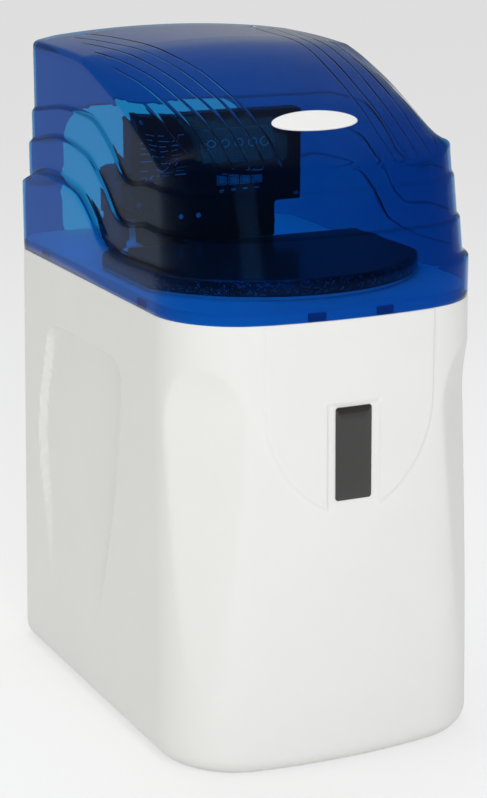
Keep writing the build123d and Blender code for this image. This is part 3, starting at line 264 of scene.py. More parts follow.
def prism(name: str, outline: Sequence[Pair], low: float, high: float,
          place: Callable[[float, float, float], Triple]) -> bpy.types.Object:
    """Closed prism over a flat outline.

    Args:
        name: Name of the object.
        outline: Corners of the flat outline.
        low: Start of the prism along its length.
        high: End of the prism along its length.
        place: Turns an outline corner and a length into x, y, z.

    Returns:
        The prism.
    """
    count = len(outline)
    verts = [place(u, v, w) for w in (low, high) for u, v in outline]
    faces = ring_faces(2, count) + [tuple(range(count)), tuple(range(count, 2 * count))]
    piece = mesh_object(name, np.array(verts), faces)
    clean(piece)
    return piece


def round_box(half_u: float, half_v: float, radius: float, steps: int = 8) -> list[Pair]:
    """Corners of a rounded rectangle about the origin.

    Args:
        half_u: Half of its width.
        half_v: Half of its height.
        radius: Radius of its corners.
        steps: Steps in each corner.

    Returns:
        The points in order.
    """
    points = []
    for su, sv, start in ((1, 1, 0), (-1, 1, 90), (-1, -1, 180), (1, -1, 270)):
        for k in range(steps + 1):
            a = math.radians(start + 90 * k / steps)
            points.append((su * (half_u - radius) + radius * math.cos(a),
                           sv * (half_v - radius) + radius * math.sin(a)))
    return points


def circle(radius: float, count: int, x: float = 0.0, z: float = 0.0) -> list[Pair]:
    """Points of a circle about a place."""
    turns = np.linspace(0, 2 * math.pi, count, endpoint=False)
    return [(x + radius * math.cos(a), z + radius * math.sin(a)) for a in turns]


def inside_distance(points: np.ndarray, shape: np.ndarray) -> np.ndarray:
    """Distance of points from a closed outline, positive inside.

    Args:
        points: Flat points.
        shape: Corners of the closed outline.

    Returns:
        One distance per point.
    """
    a, b = shape, np.roll(shape, -1, axis=0)
    run = b - a
    long = np.maximum((run**2).sum(1), 1e-9)
    rel = points[:, None, :] - a[None]
    t = np.clip((rel * run).sum(2) / long, 0, 1)
    gap = np.sqrt(((rel - run * t[..., None]) ** 2).sum(2)).min(1)
    crosses = (a[None, :, 1] > points[:, None, 1]) != (b[None, :, 1] > points[:, None, 1])
    height = np.where(np.abs(run[:, 1]) < 1e-9, 1e-9, run[:, 1])
    where = a[None, :, 0] + (points[:, None, 1] - a[None, :, 1]) * run[:, 0] / height
    odd = (crosses & (points[:, None, 0] < where)).sum(1) % 2
    return np.where(odd == 1, gap, -gap)


def far_apart(points: np.ndarray, others: np.ndarray, gap: float, batch: int = 500) -> np.ndarray:
    """Which points keep a distance from all others.

    Args:
        points: The points to sort.
        others: The points that they keep clear of.
        gap: The distance.
        batch: How many are compared at once.

    Returns:
        True for each point that is far enough.
    """
    keep = np.ones(len(points), bool)
    for start in range(0, len(points), batch):
        part = points[start:start + batch]
        keep[start:start + batch] = (((part[:, None] - others[None]) ** 2).sum(2)).min(1) > gap**2
    return keep


@dataclass
class Net:
    """A node tree with short calls for adding and linking.

    Attributes:
        tree: The node tree being filled.
    """

    tree: bpy.types.NodeTree

    def feed(self, socket: Socket, value: Socket | float | tuple) -> None:
        """Link an input to a source, or set its value.

        Args:
            socket: The input.
            value: A source, or the value that is set.
        """
        if isinstance(value, bpy.types.NodeSocket):
            self.tree.links.new(value, socket)
        else:
            socket.default_value = value

    def add(self, kind: str, operation: str = "", **inputs: Socket | float | tuple) -> bpy.types.Node:
        """Add a node and set or link its inputs.

        Args:
            kind: Type of the node, without ShaderNode.
            operation: Operation of a math node.
            **inputs: Value or source of each input, with _ for a space in its name.

        Returns:
            The new node.
        """
        node = self.tree.nodes.new("ShaderNode" + kind)
        if operation:
            node.operation = operation
        for label, value in inputs.items():
            self.feed(node.inputs[label.replace("_", " ")], value)
        return node

    def math(self, operation: str, *values: Socket | float, kind: str = "Math") -> bpy.types.Node:
        """Add a math node.

        Args:
            operation: What it does.
            *values: Values or sources of its inputs, in order.
            kind: Math or VectorMath.

        Returns:
            The new node.
        """
        node = self.add(kind, operation)
        for socket, value in zip(node.inputs, values):
            self.feed(socket, value)
        return node

    def product(self, first: Socket, second: Socket | float) -> Socket:
        """Product of two numbers."""
        return self.math("MULTIPLY", first, second).outputs[0]

    def spread(self, value: Socket, low: float, high: float = 1.0, top: float = 1.0) -> Socket:
        """Turn a range of values into 0 to a top value.

        Args:
            value: The number.
            low: Value that gives 0.
            high: Value that gives the top value.
            top: The top value.

        Returns:
            The result socket.
        """
        made = self.add("MapRange", Value=value, From_Min=low, From_Max=high, To_Max=top)
        return made.outputs["Result"]

    def place(self) -> Socket:
        """Coordinates in the object."""
        return self.add("TexCoord").outputs["Object"]

    def normal(self) -> Socket:
        """Direction in which the surface faces."""
        return self.add("NewGeometry").outputs["Normal"]

    def upward(self) -> Socket:
        """Vertical part of that direction."""
        return self.add("SeparateXYZ", Vector=self.normal()).outputs["Z"]

    def noise(self, scale: Socket | float, detail: float, **inputs: float) -> Socket:
        """Cloudy noise fixed to the object.

        Args:
            scale: Its scale.
            detail: Its detail.
            **inputs: Further inputs.

        Returns:
            The noise socket.
        """
        made = self.add("TexNoise", Vector=self.place(), Scale=scale, Detail=detail, **inputs)
        return made.outputs["Fac"]

    def mix(self, factor: Socket, first: Socket | tuple, second: Socket | tuple) -> Socket:
        """Mix two colours.

        Args:
            factor: Share of the second colour.
            first: A colour or a colour socket.
            second: A colour or a colour socket.

        Returns:
            The mixed colour.
        """
        node = self.add("Mix")
        node.data_type = "RGBA"
        for number, value in ((0, factor), (6, first), (7, second)):
            self.feed(node.inputs[number], value)
        return node.outputs[2]

    def use(self, name: str, **inputs: Socket | float | tuple) -> bpy.types.Node:
        """Place a shared group with its own values.

        Args:
            name: Name of the group.
            **inputs: Values or sources of its inputs.

        Returns:
            The group node.
        """
        node = self.add("Group")
        node.node_tree = EFFECTS.made[name]
        for label, value in inputs.items():
            self.feed(node.inputs[label], value)
        return node

    def finish(self, share: Socket, first: bpy.types.Node, second: bpy.types.Node) -> None:
        """Mix two shaders into the material's output.

        Args:
            share: Share of the second shader.
            first: A shader.
            second: A shader.
        """
        both = self.add("MixShader")
        for socket, value in zip(both.inputs, (share, first.outputs[0], second.outputs[0])):
            self.feed(socket, value)
        self.feed(self.tree.nodes["Material Output"].inputs["Surface"], both.outputs[0])


@dataclass
class Effects:
    """The shader node groups that several finishes share.

    Attributes:
        made: The groups by name.
    """

    made: dict[str, bpy.types.NodeTree] = field(default_factory=dict)

    def group(self, name: str, inputs: dict[str, float | tuple], *outputs: str) -> tuple:
        """Start a node group with named sockets.

        Args:
            name: Name of the group.
            inputs: Default of each input; a tuple makes a colour socket.
            *outputs: Names of its outputs; Color makes a colour socket.

        Returns:
            The group's net, the sockets that it is given and those that it puts out.
        """
        tree = bpy.data.node_groups.new(name, "ShaderNodeTree")
        kinds = {True: "NodeSocketColor", False: "NodeSocketFloat"}
        for label, value in inputs.items():
            kind = kinds[isinstance(value, tuple)]
            tree.interface.new_socket(label, in_out="INPUT", socket_type=kind).default_value = value
        for label in outputs:
            tree.interface.new_socket(label, in_out="OUTPUT", socket_type=kinds[label == "Color"])
        self.made[name] = tree
        given = tree.nodes.new("NodeGroupInput").outputs
        return Net(tree), given, tree.nodes.new("NodeGroupOutput").inputs

    def build(self) -> None:
        """Build every shared group."""
        self.grain()
        self.mottle()
        self.dust()
        self.wear()

    def grain(self) -> None:
        """Fine moulded texture as a height, with a slow waviness under it."""
        net, given, out = self.group("grain", {"Scale": 900.0, "Wave": 0.3}, "Height")
        fine = net.noise(given["Scale"], 2.0, Roughness=0.6)
        slow = net.noise(14.0, 1.0)
        net.feed(out["Height"], net.math("MULTIPLY_ADD", slow, given["Wave"], fine).outputs[0])

    def mottle(self) -> None:
        """Slow change of a colour, as moulded or cast material has."""
        start = {"Color": (0.8, 0.8, 0.8, 1.0), "Amount": 0.06, "Scale": 9.0}
        net, given, out = self.group("mottle", start, "Color")
        cloud = net.noise(given["Scale"], 3.0, Roughness=0.55)
        darker = net.product(net.spread(cloud, 0.3, 0.7), given["Amount"])
        tone = net.math("SCALE", given["Color"], kind="VectorMath")
        net.feed(tone.inputs["Scale"], net.math("SUBTRACT", 1.0, darker).outputs[0])
        net.feed(out["Color"], tone.outputs[0])

    def dust(self) -> None:
        """Fine dust on faces that look up."""
        start = {"Color": (0.5, 0.5, 0.5, 1.0), "Dust": (0.55, 0.53, 0.5, 1.0), "Amount": 0.15}
        net, given, out = self.group("dust", start, "Color", "Mask")
        lying = net.product(net.spread(net.upward(), 0.5), net.noise(160.0, 4.0))
        mask = net.product(lying, given["Amount"])
        net.feed(out["Color"], net.mix(mask, given["Color"], given["Dust"]))
        net.feed(out["Mask"], mask)

    def wear(self) -> None:
        """Mask of the edges, where a finish rubs smooth and pale."""
        net, given, out = self.group("edge_wear", {"Width": 0.0015, "Amount": 0.5}, "Mask")
        rounded = net.add("Bevel", Radius=given["Width"])
        rounded.samples = 4
        turn = net.math("DOT_PRODUCT", net.normal(), rounded.outputs["Normal"], kind="VectorMath")
        rubbed = net.product(net.spread(turn.outputs["Value"], 0.99, 0.8), net.noise(220.0, 3.0))
        net.feed(out["Mask"], net.product(rubbed, given["Amount"]))


EFFECTS = Effects()


def linear(red: int, green: int, blue: int) -> tuple[float, float, float, float]:
    """Turn a display colour of 0 to 255 into the shader's linear one.

    Args:
        red: Its red.
        green: Its green.
        blue: Its blue.

    Returns:
        The linear colour with full opacity.
    """
    def step(v: float) -> float:
        """Turn one channel."""
        v /= 255
        return v / 12.92 if v <= 0.04045 else ((v + 0.055) / 1.055) ** 2.4
    return step(red), step(green), step(blue), 1.0


@dataclass(frozen=True)
class Finish:
    """Moulded plastic or rubber: colour, gloss, texture, wear and dust.

    Attributes:
        name: Name of the material.
        color: Display colour.
        rough: Roughness.
        grain: Scale of the moulded texture.
        bump: Strength of the texture.
        mottle: Share by which the colour changes.
        cloud: Scale of the colour change.
        wear: Share of wear on the edges.
        dust: Share of dust on upper faces.
        specular: Strength of the reflection.
        metallic: 1 for metal.
        coat: Weight of a clear coat.
        relief: Height of the texture in metres.
        matt: Roughness that full dust adds.
    """

    name: str
    color: tuple[int, int, int]
    rough: float = 0.45
    grain: float = 900.0
    bump: float = 0.05
    mottle: float = 0.05
    cloud: float = 9.0
    wear: float = 0.3
    dust: float = 0.1
    specular: float = 0.5
    metallic: float = 0.0
    coat: float = 0.0
    relief: float = 0.0006
    matt: float = 0.4

    def start(self) -> tuple[bpy.types.Material, Net, bpy.types.Node]:
        """Make the plain material.

        Returns:
            The material, its net and its main shader.
        """
        made = bpy.data.materials.new("finish_" + self.name)
        made.use_nodes = True
        shader = made.node_tree.nodes["Principled BSDF"]
        shader.inputs["Metallic"].default_value = self.metallic
        shader.inputs["Specular IOR Level"].default_value = self.specular
        shader.inputs["Coat Weight"].default_value = self.coat
        return made, Net(made.node_tree), shader

    def colour(self, net: Net) -> Socket:
        """Base colour with its slow change."""
        tone = net.use("mottle", Color=linear(*self.color), Amount=self.mottle, Scale=self.cloud)
        return tone.outputs["Color"]

    def height(self, net: Net) -> Socket:
        """Height of the surface texture."""
        return net.use("grain", Scale=self.grain).outputs["Height"]

    def texture(self, net: Net, shader: bpy.types.Node, dust: Socket) -> None:
        """Feed the shader's roughness and normal.

        Args:
            net: The material's net.
            shader: Its main shader.
            dust: Mask of the dust.
        """
        matt = net.math("MULTIPLY_ADD", dust, self.matt, self.rough)
        net.feed(shader.inputs["Roughness"], matt.outputs[0])
        bump = net.add("Bump", Strength=self.bump, Distance=self.relief, Height=self.height(net))
        net.feed(shader.inputs["Normal"], bump.outputs["Normal"])

    def build(self) -> bpy.types.Material:
        """Build the material, with worn edges paler than the rest.

        Returns:
            The finished material.
        """
        made, net, shader = self.start()
        pale = tuple(min(1.0, c * 1.6 + 0.05) for c in linear(*self.color)[:3]) + (1.0,)
        rub = net.use("edge_wear", Amount=self.wear)
        worn = net.mix(rub.outputs["Mask"], self.colour(net), pale)
        dusty = net.use("dust", Color=worn, Amount=self.dust)
        net.feed(shader.inputs["Base Color"], dusty.outputs["Color"])
        self.texture(net, shader, dusty.outputs["Mask"])
        return made


@dataclass(frozen=True)
class WoundGlass(Finish):
    """Glass fibre wound over a tank and set in resin.

    Attributes:
        lean: Angle of the winding in degrees.
    """

    lean: float = 9.0

    def height(self, net: Net) -> Socket:
        """Crossed bands of winding.

        Args:
            net: The material's net.

        Returns:
            The height socket.
        """
        place = net.place()
        bands = []
        for lean in (self.lean, -self.lean):
            turn = net.add("Mapping", Vector=place, Rotation=(0.0, math.radians(lean), 0.0))
            wave = net.add("TexWave", Vector=turn.outputs["Vector"], Scale=60.0, Distortion=1.5)
            wave.bands_direction = "Z"
            bands.append(wave.outputs["Fac"])
        return net.math("MAXIMUM", *bands).outputs[0]


@dataclass(frozen=True)
class Beads(Finish):
    """A packed bed of small resin beads."""

    def cells(self, net: Net) -> bpy.types.Node:
        """Small cells, one for each bead or grain."""
        return net.add("TexVoronoi", Vector=net.place(), Scale=self.grain)

    def height(self, net: Net) -> Socket:
        """Round beads."""
        return net.math("SUBTRACT", 1.0, self.cells(net).outputs["Distance"]).outputs[0]


@dataclass(frozen=True)
class Brushed(Finish):
    """Drawn or brushed metal.

    Attributes:
        pull: Scale of the lines on each axis.
    """

    pull: Triple = (1.0, 0.04, 1.0)

    def height(self, net: Net) -> Socket:
        """Fine lines along one way."""
        pulled = net.add("Mapping", Vector=net.place(), Scale=self.pull).outputs["Vector"]
        return net.add("TexNoise", Vector=pulled, Scale=2600.0, Detail=1.0).outputs["Fac"]


@dataclass(frozen=True)
class Speckled(Beads):
    """Black lid: granular around its rim, smooth on top; the pale specks on the rim are painted glints
    in place of lamp highlights.

    Attributes:
        painted_glint_speck: Display colour of the specks, painted glints in place of lamp highlights.
        sparse: Share of grains that stay dark.
    """

    painted_glint_speck: tuple[int, int, int] = (112, 120, 134)
    sparse: float = 0.78

    def rim(self, net: Net) -> Socket:
        """Mask of the granular rim, which faces outwards more than up."""
        return net.spread(net.upward(), 0.95, 0.75)

    def colour(self, net: Net) -> Socket:
        """Black with pale specks on the rim, painted glints in place of lamp highlights.

        Args:
            net: The material's net.

        Returns:
            The colour socket.
        """
        pick = net.add("SeparateColor", Color=self.cells(net).outputs["Color"])
        # Painted glints: pale specks on a share of the rim's grains stand in for lamp highlights.
        glint_specks = net.spread(pick.outputs["Red"], self.sparse)
        return net.mix(net.product(glint_specks, self.rim(net)), super().colour(net), linear(*self.painted_glint_speck))

    def height(self, net: Net) -> Socket:
        """Grains on the rim only."""
        return net.product(self.cells(net).outputs["Distance"], self.rim(net))


@dataclass(frozen=True)
class Tinted(Finish):
    """Clear tinted plastic that lets tinted light through.

    Attributes:
        tint: Linear colour of light that has passed once through the shell.
        painted_side_shade_tint: The same at the front right, deeper there as painted shade on the side
            turned from the light.
        shade: Linear colour of the light that passes to what stands behind.
        painted_line_tint: Linear colour of the painted shade along the grooves and under the plates'
            edges.
        polish: Weight of the gloss on the crown.
        bend: Index of refraction; low where a thin even wall hardly bends the light.
    """

    tint: Triple = (0.9, 0.9, 0.9)
    painted_side_shade_tint: Triple = (0.9, 0.9, 0.9)
    shade: Triple = (0.9, 0.9, 0.9)
    # painted_line_tint is the colour of painted shade in the grooves and under the plates' edges.
    painted_line_tint: Triple = (0.002, 0.01, 0.05)
    polish: float = 0.0
    bend: float = 1.49
    matt: float = 0.3

    def crown(self, net: Net) -> Socket:
        """Weight of the gloss, which lies on the nearly level faces alone."""
        return net.spread(net.upward(), 0.975, 0.998, self.polish)

    def depth(self, net: Net) -> Socket:
        """Tint of the shell, with painted shade towards the front right and along the grooves and the
        plates' edges.

        Args:
            net: The material's net.

        Returns:
            The colour socket.
        """
        part = net.add("SeparateXYZ", Vector=net.place()).outputs
        # Painted shade: the tint deepens towards the front right, the side turned from the light.
        along = net.math("SUBTRACT", part["X"], part["Y"]).outputs[0]
        even = net.mix(net.spread(along, -0.1, 0.3), self.tint + (1.0,), self.painted_side_shade_tint + (1.0,))
        # Painted shade along the grooves and under the plates' edges, read from a mesh attribute.
        lines = net.add("Attribute")
        lines.attribute_name = "painted_line_share"
        return net.mix(lines.outputs["Fac"], even, self.painted_line_tint + (1.0,))

    def build(self) -> bpy.types.Material:
        """Build the material.

        Returns:
            The finished material.
        """
        made, net, shader = self.start()
        shader.inputs["Transmission Weight"].default_value = 1.0
        shader.inputs["IOR"].default_value = self.bend
        tone = net.use("mottle", Color=self.depth(net), Amount=self.mottle, Scale=self.cloud)
        net.feed(shader.inputs["Base Color"], tone.outputs["Color"])
        if self.polish:
            net.feed(shader.inputs["Coat Weight"], self.crown(net))
        self.texture(net, shader, net.use("dust", Amount=self.dust).outputs["Mask"])
        clear = net.add("BsdfTransparent", Color=self.shade + (1.0,))
        net.finish(net.add("LightPath").outputs["Is Shadow Ray"], shader, clear)
        return made


def dress(piece: bpy.types.Object, finish: Finish) -> None:
    """Give a piece its finish, built at its first use.

    Args:
        piece: The piece.
        finish: The finish for all of its faces.
    """
    made = bpy.data.materials.get("finish_" + finish.name) or finish.build()
    piece.data.materials.clear()
    piece.data.materials.append(made)


TUB_WHITE = Finish("tub_white", (240, 240, 238), rough=0.42, grain=420.0, bump=0.035, mottle=0.02,
                   wear=0.05, dust=0.02, specular=0.4)
DECK_WHITE = Finish("deck_white", (232, 234, 234), rough=0.4, bump=0.04, mottle=0.04, dust=0.05)
PLATE_BLACK = Finish("plate_black", (30, 27, 26), rough=0.16, grain=300.0, bump=0.015, mottle=0.35,
                     cloud=24.0, wear=0.1, dust=0.05, coat=0.6)
BADGE_WHITE = Finish("badge_white", (242, 242, 242), rough=0.25, bump=0.02, mottle=0.03, wear=0.05,
                     coat=0.5)
PAD_RUBBER = Finish("pad_rubber", (176, 140, 168), rough=0.7, bump=0.15)
# The lid's pale specks are painted glints; its grains are real bumps.
LID_BLACK = Speckled("lid_black", (14, 14, 16), coat=0.5, rough=0.3, grain=620.0, bump=0.6, wear=0.15,
                     dust=0.05)
TANK_WOUND = WoundGlass("tank_wound", (40, 62, 92), rough=0.35, bump=0.5, mottle=0.2, coat=0.4)
BOOT_BLACK = Finish("boot_black", (22, 22, 23), rough=0.6, bump=0.15)
PIPE_WHITE = Finish("pipe_white", (226, 226, 220), rough=0.4, mottle=0.06)
RESIN_AMBER = Beads("resin_amber", (168, 98, 30), rough=0.35, grain=1400.0, bump=0.9, mottle=0.25,
                    cloud=60.0)
SEAL_RUBBER = Finish("seal_rubber", (18, 18, 18), rough=0.7, bump=0.1)
VALVE_BLACK = Finish("valve_black", (20, 21, 23), rough=0.45, grain=500.0, bump=0.12, mottle=0.15)
HEAD_BLACK = Finish("head_black", (12, 13, 15), rough=0.35, grain=700.0, bump=0.12, mottle=0.1)
HEAD_GREY = Finish("head_grey", (70, 74, 80), rough=0.45, grain=600.0, bump=0.12, mottle=0.12)
FLOAT_WHITE = Finish("float_white", (224, 226, 222), rough=0.5, bump=0.2, grain=500.0)
ROD_STEEL = Brushed("rod_steel", (190, 192, 194), rough=0.25, bump=0.15, metallic=1.0)
GEAR_WHITE = Finish("gear_white", (228, 226, 214), rough=0.35, mottle=0.05)
BOARD_GREEN = Finish("board_green", (24, 84, 48), rough=0.35, grain=300.0, bump=0.2, mottle=0.25,
                     cloud=120.0)
PANE_CLEAR = Tinted("pane_clear", (220, 220, 220), rough=0.05, bump=0.01, mottle=0.02, dust=0.02,
                    tint=(0.85, 0.88, 0.9), painted_side_shade_tint=(0.85, 0.88, 0.9), shade=(0.8, 0.82, 0.84))
KEY_GREY = Finish("key_grey", (150, 156, 162), rough=0.4, bump=0.1)
LAMP_LENS = Finish("lamp_lens", (170, 200, 210), rough=0.15, bump=0.02, coat=0.5)
TUBE_BLACK = Finish("tube_black", (24, 24, 26), rough=0.35, bump=0.05)
BYPASS_BLACK = Finish("bypass_black", (22, 23, 25), rough=0.5, bump=0.15)
HANDLE_RED = Finish("handle_red", (172, 28, 30), rough=0.4, bump=0.1)
CLIP_STEEL = Brushed("clip_steel", (184, 186, 188), rough=0.3, bump=0.2, metallic=1.0)
THREAD_GREY = Finish("thread_grey", (120, 124, 128), rough=0.45, bump=0.1)
# Its painted_side_shade_tint is painted shade on the hood's front right.
HOOD_BLUE = Tinted("hood_blue", (10, 90, 180), rough=0.03, grain=200.0, bump=0.012, mottle=0.05,
                   cloud=5.0, dust=0.03, bend=1.12, tint=(0.012, 0.25, 0.6), painted_side_shade_tint=(0.02, 0.18, 0.5),
                   polish=0.34, shade=(0.12, 0.64, 0.87))
REPLACED = {"cabinet_shell", "hood_cover", "front_plate", "hood_badge"}
CARRIED: dict[Finish, tuple[str, ...]] = {
    DECK_WHITE: ("top_deck", "salt_grid"),
    LID_BLACK: ("salt_lid",),
    PAD_RUBBER: ("hood_pads",),
    TANK_WOUND: ("tank_shell",),
    BOOT_BLACK: ("tank_foot",),
    PIPE_WHITE: ("riser_tube", "bottom_basket", "top_basket", "brine_well", "brine_well_cap",
                 "pickup_tube", "spacer_cages"),
    RESIN_AMBER: ("resin_bed",),
    SEAL_RUBBER: ("tank_seal", "seal_rings"),
    HEAD_GREY: ("safety_valve", "air_check", "injector_housing", "injector_cap", "line_nut"),
    FLOAT_WHITE: ("brine_float",),
    ROD_STEEL: ("float_rod", "piston_rod", "valve_screws", "gear_axle"),
    TUBE_BLACK: ("brine_line",),
    THREAD_GREY: ("overflow_barb", "overflow_nut", "power_socket", "drain_barb", "pipe_ends"),
    VALVE_BLACK: ("valve_body", "end_plug"),
    GEAR_WHITE: ("valve_piston", "drive_gear", "reduction_gear", "motor_pinion", "meter_impeller",
                 "injector_nozzle"),
    CLIP_STEEL: ("drive_bracket", "drive_motor", "pipe_clips"),
    HEAD_BLACK: ("control_cover", "control_back"),
    BOARD_GREEN: ("circuit_board",),
    PANE_CLEAR: ("display_window",),
    KEY_GREY: ("key_1", "key_2", "key_3", "key_4"),
    LAMP_LENS: ("indicator_lamps",),
    BYPASS_BLACK: ("bypass_block",),
    HANDLE_RED: ("bypass_rotor_inlet", "bypass_rotor_outlet"),
}


@dataclass
class Cabinet:
    """The white tub: bowed front, apron, scooped front corners and side panels.

    Attributes:
        height: Height of the joint with the hood.
        base: Outline at the floor.
        top: Outline at the joint.
        counts: Steps of the outline.
        wall: Thickness of the wall.
        foot: Radius of the edge at the floor.
        lining: Height and inset of each ring inside, from the joint over the collar down.
        apron_rise: Height of the apron over the front.
        apron_edge: Width of its soft edge.
        apron_line: Half of the apron's edge, as x and z.
        fine_from: Height from which the mesh rows stand closer together.
        notch: Half width and top of the notch for the plate.
        scoop_depth: Depth of the scoop in each front corner.
        scoop_turn: Direction of the scoop from the front.
        scoop_z: Low end, deepest level and high end of the scoop.
        scoop_soft: Rounding of the scoop's edge.
        panel: Edge of the side panel, as y and z.
        panel_depth: Depth of the side panel.
        panel_edge: Width of its soft edge.
        panel_fade: Line from which the panel deepens forwards: y, z, slope and run.
        panel_foot: Height and run over which the panel fades downwards.
        pocket_place: X and z of the rear pocket's middle, its half width and height, and its depth.
        barb_hole: Radius of the hole for the overflow barb.
        crease: Angle in degrees above which an edge stays sharp.
    """

    height: float = 455.0
    base: Outline = Outline(171.98, -250.44, 250.44)
    top: Outline = Outline(167.0, -243.0, 243.0)
    counts: tuple[int, ...] = (64, 34, 92, 12, 14)
    wall: float = 4.0
    foot: float = 21.0
    lining: tuple[Pair, ...] = (
        (455.0, 6.0), (463.0, 6.0), (463.0, 9.5), (440.0, 9.5), (436.0, 12.6), (300.0, 12.6),
        (80.0, 12.6), (40.0, 8.0), (12.0, 18.0), (4.0, 27.0))
    apron_rise: float = 2.4
    apron_edge: float = 3.2
    apron_line: tuple[Pair, ...] = (
        (92.0, 470.0), (92.0, 372.0), (91.0, 356.0), (88.0, 340.0), (83.0, 326.0), (75.5, 311.0),
        (65.0, 296.5), (53.0, 284.0), (42.0, 275.5), (27.5, 266.5))
    fine_from: float = 262.0
    notch: Pair = (27.5, 372.0)
    scoop_depth: float = 12.0
    scoop_turn: float = 47.0
    scoop_z: Triple = (84.0, 352.0, 412.0)
    scoop_soft: float = 0.6
    panel: tuple[Pair, ...] = (
        (141.0, 373.0), (128.0, 386.0), (101.0, 390.0), (-40.0, 390.0), (-56.0, 385.0), (-65.0, 371.0),
        (-64.0, 350.0), (-56.0, 296.0), (-45.0, 240.0), (-31.0, 193.0), (-14.0, 140.0), (0.0, 96.0),
        (135.0, 80.0), (141.0, 120.0), (150.0, 165.0), (165.0, 215.0), (171.0, 259.0), (164.0, 305.0),
        (150.0, 343.0))
    panel_depth: float = 8.0
    panel_edge: float = 5.0
    panel_fade: tuple[float, float, float, float] = (-70.0, 390.0, -0.23, 50.0)
    panel_foot: Pair = (78.0, 150.0)
    pocket_place: tuple[float, float, float, float, float] = (110.0, 326.0, 16.0, 26.0, 32.0)
    barb_hole: float = 6.4
    crease: float = 38.0

    def rows(self) -> np.ndarray:
        """Heights of the mesh rows of the outer skin, closer together beside the plate and above.

        Returns:
            The heights, upwards.
        """
        low = self.foot * (1 - np.cos(np.linspace(0, math.pi / 2, 9)))
        mid = np.linspace(self.foot, self.fine_from, 56)
        high = np.linspace(self.fine_from, self.height - 1.2, 110)
        return np.concatenate([low, mid[1:], high[1:], [self.height - 0.5, self.height]])

    def front_at(self, t: np.ndarray | float) -> np.ndarray | float:
        """Y of the front's middle at a share of the height."""
        return self.base.front + (self.top.front - self.base.front) * t

    def outline(self, z: float, inset: float = 0.0) -> np.ndarray:
        """Ring of the outer skin before its apron, scoops and panels.

        Args:
            z: Height of the ring.
            inset: Distance inwards.

        Returns:
            Points and normals.
        """
        t = z / self.height
        half = self.base.half + (self.top.half - self.base.half) * t
        back = self.base.back + (self.top.back - self.base.back) * t
        ring = Outline(half, self.front_at(t), back).ring(self.counts)
        ring[:, :2] -= ring[:, 2:] * inset
        return ring

    def foot_inset(self, z: float) -> float:
        """Inset of the rounded foot at a height.

        Args:
            z: The height.

        Returns:
            The inset.
        """
        if z >= self.foot:
            return 0.0
        return self.foot - math.sqrt(max(0.0, self.foot**2 - (self.foot - z) ** 2))

    def apron(self, x: np.ndarray, z: float) -> np.ndarray:
        """Rise of the apron at places on the front.

        Args:
            x: Places across.
            z: Their height.

        Returns:
            One rise per place.
        """
        edge = np.array(self.apron_line)
        half, high = self.notch
        shape = np.vstack([edge, [(half, high), (-half, high)], edge[::-1] * (-1, 1)])
        points = np.column_stack([x, np.full_like(x, z)])
        return self.apron_rise * smooth(inside_distance(points, shape) / self.apron_edge + 0.25)

    def scoop(self, ring: np.ndarray, z: float) -> np.ndarray:
        """Depth of the front-corner scoops at each point of a ring.

        Args:
            ring: Points and normals.
            z: Height of the ring.

        Returns:
            One depth per point.
        """
        low, deep, high = self.scoop_z
        if z <= low or z >= high:
            return np.zeros(len(ring))
        depth = self.scoop_depth * (min(z, deep) - low) / (deep - low)
        if z > deep:
            depth = self.scoop_depth * (1 - ((z - deep) / (high - deep)) ** 2)
        corner = self.outline(z)[self.counts[0]]
        radius = self.top.front_corner
        centre = corner[:2] - corner[2:] * radius
        a = math.radians(self.scoop_turn)
        face = np.array([math.sin(a), -math.cos(a)])
        x = np.abs(ring[:, 0])
        over = (x - centre[0]) * face[0] + (ring[:, 1] - centre[1]) * face[1] - (radius - depth)
        away = np.abs(ring[:, 2]) * face[0] + ring[:, 3] * face[1]
        soft, least = self.scoop_soft, 0.3
        rise = np.where(away > least, soft * np.logaddexp(0, over / soft), 0.0)
        return np.where(over > -8 * soft, rise / np.maximum(away, least), 0.0)

    def side(self, ring: np.ndarray, z: float) -> np.ndarray:
        """Depth of the side panels at each point of a ring.

        Args:
            ring: Points and normals.
            z: Height of the ring.

        Returns:
            One depth per point.
        """
        points = np.column_stack([ring[:, 1], np.full(len(ring), z)])
        near = inside_distance(points, np.array(self.panel))
        start, level, slope, run = self.panel_fade
        forward = smooth((ring[:, 1] - start + (z - level) * slope) / run + 0.15)
        low, rise = self.panel_foot
        depth = self.panel_depth * smooth(near / self.panel_edge + 0.1) * (0.25 + 0.75 * forward)
        return np.where(np.abs(ring[:, 2]) > 0.95, depth * smooth((z - low) / rise), 0.0)

    def build(self) -> bpy.types.Object:
        """Build the tub's mesh.

        Returns:
            The tub with its pocket for the overflow.
        """
        first = self.outline(0.0, self.foot)[:, :2]
        level = np.zeros(len(first))
        rings = [np.column_stack([first * share, level]) for share in (0.02, 0.8)]
        for z in self.rows():
            ring = self.outline(z, self.foot_inset(z))
            dent = self.scoop(ring, z) + self.side(ring, z)
            front = np.where(ring[:, 3] < -0.9, self.apron(ring[:, 0], z), 0.0)
            if z > self.height - 1.0:
                dent = dent + 0.5 * (z - self.height + 1.0) ** 2
            flat = ring[:, :2] - ring[:, 2:] * (dent - front)[:, None]
            rings.append(np.column_stack([flat, level + z]))
        for z, inset in self.lining:
            ring = self.outline(min(z, self.height), inset)
            rings.append(np.column_stack([ring[:, :2], level + z]))
        rings.append(np.column_stack([first * 0.02, level + self.wall]))
        tub = loop_grid("tub_moulding", rings)
        self.pocket(tub)
        return tub

    def pocket(self, tub: bpy.types.Object) -> None:
        """Sink the rear pocket with its walls and the hole for the overflow barb.

        Args:
            tub: The tub.
        """
        x, z, half_u, half_v, depth = self.pocket_place
        floor = self.top.back - depth

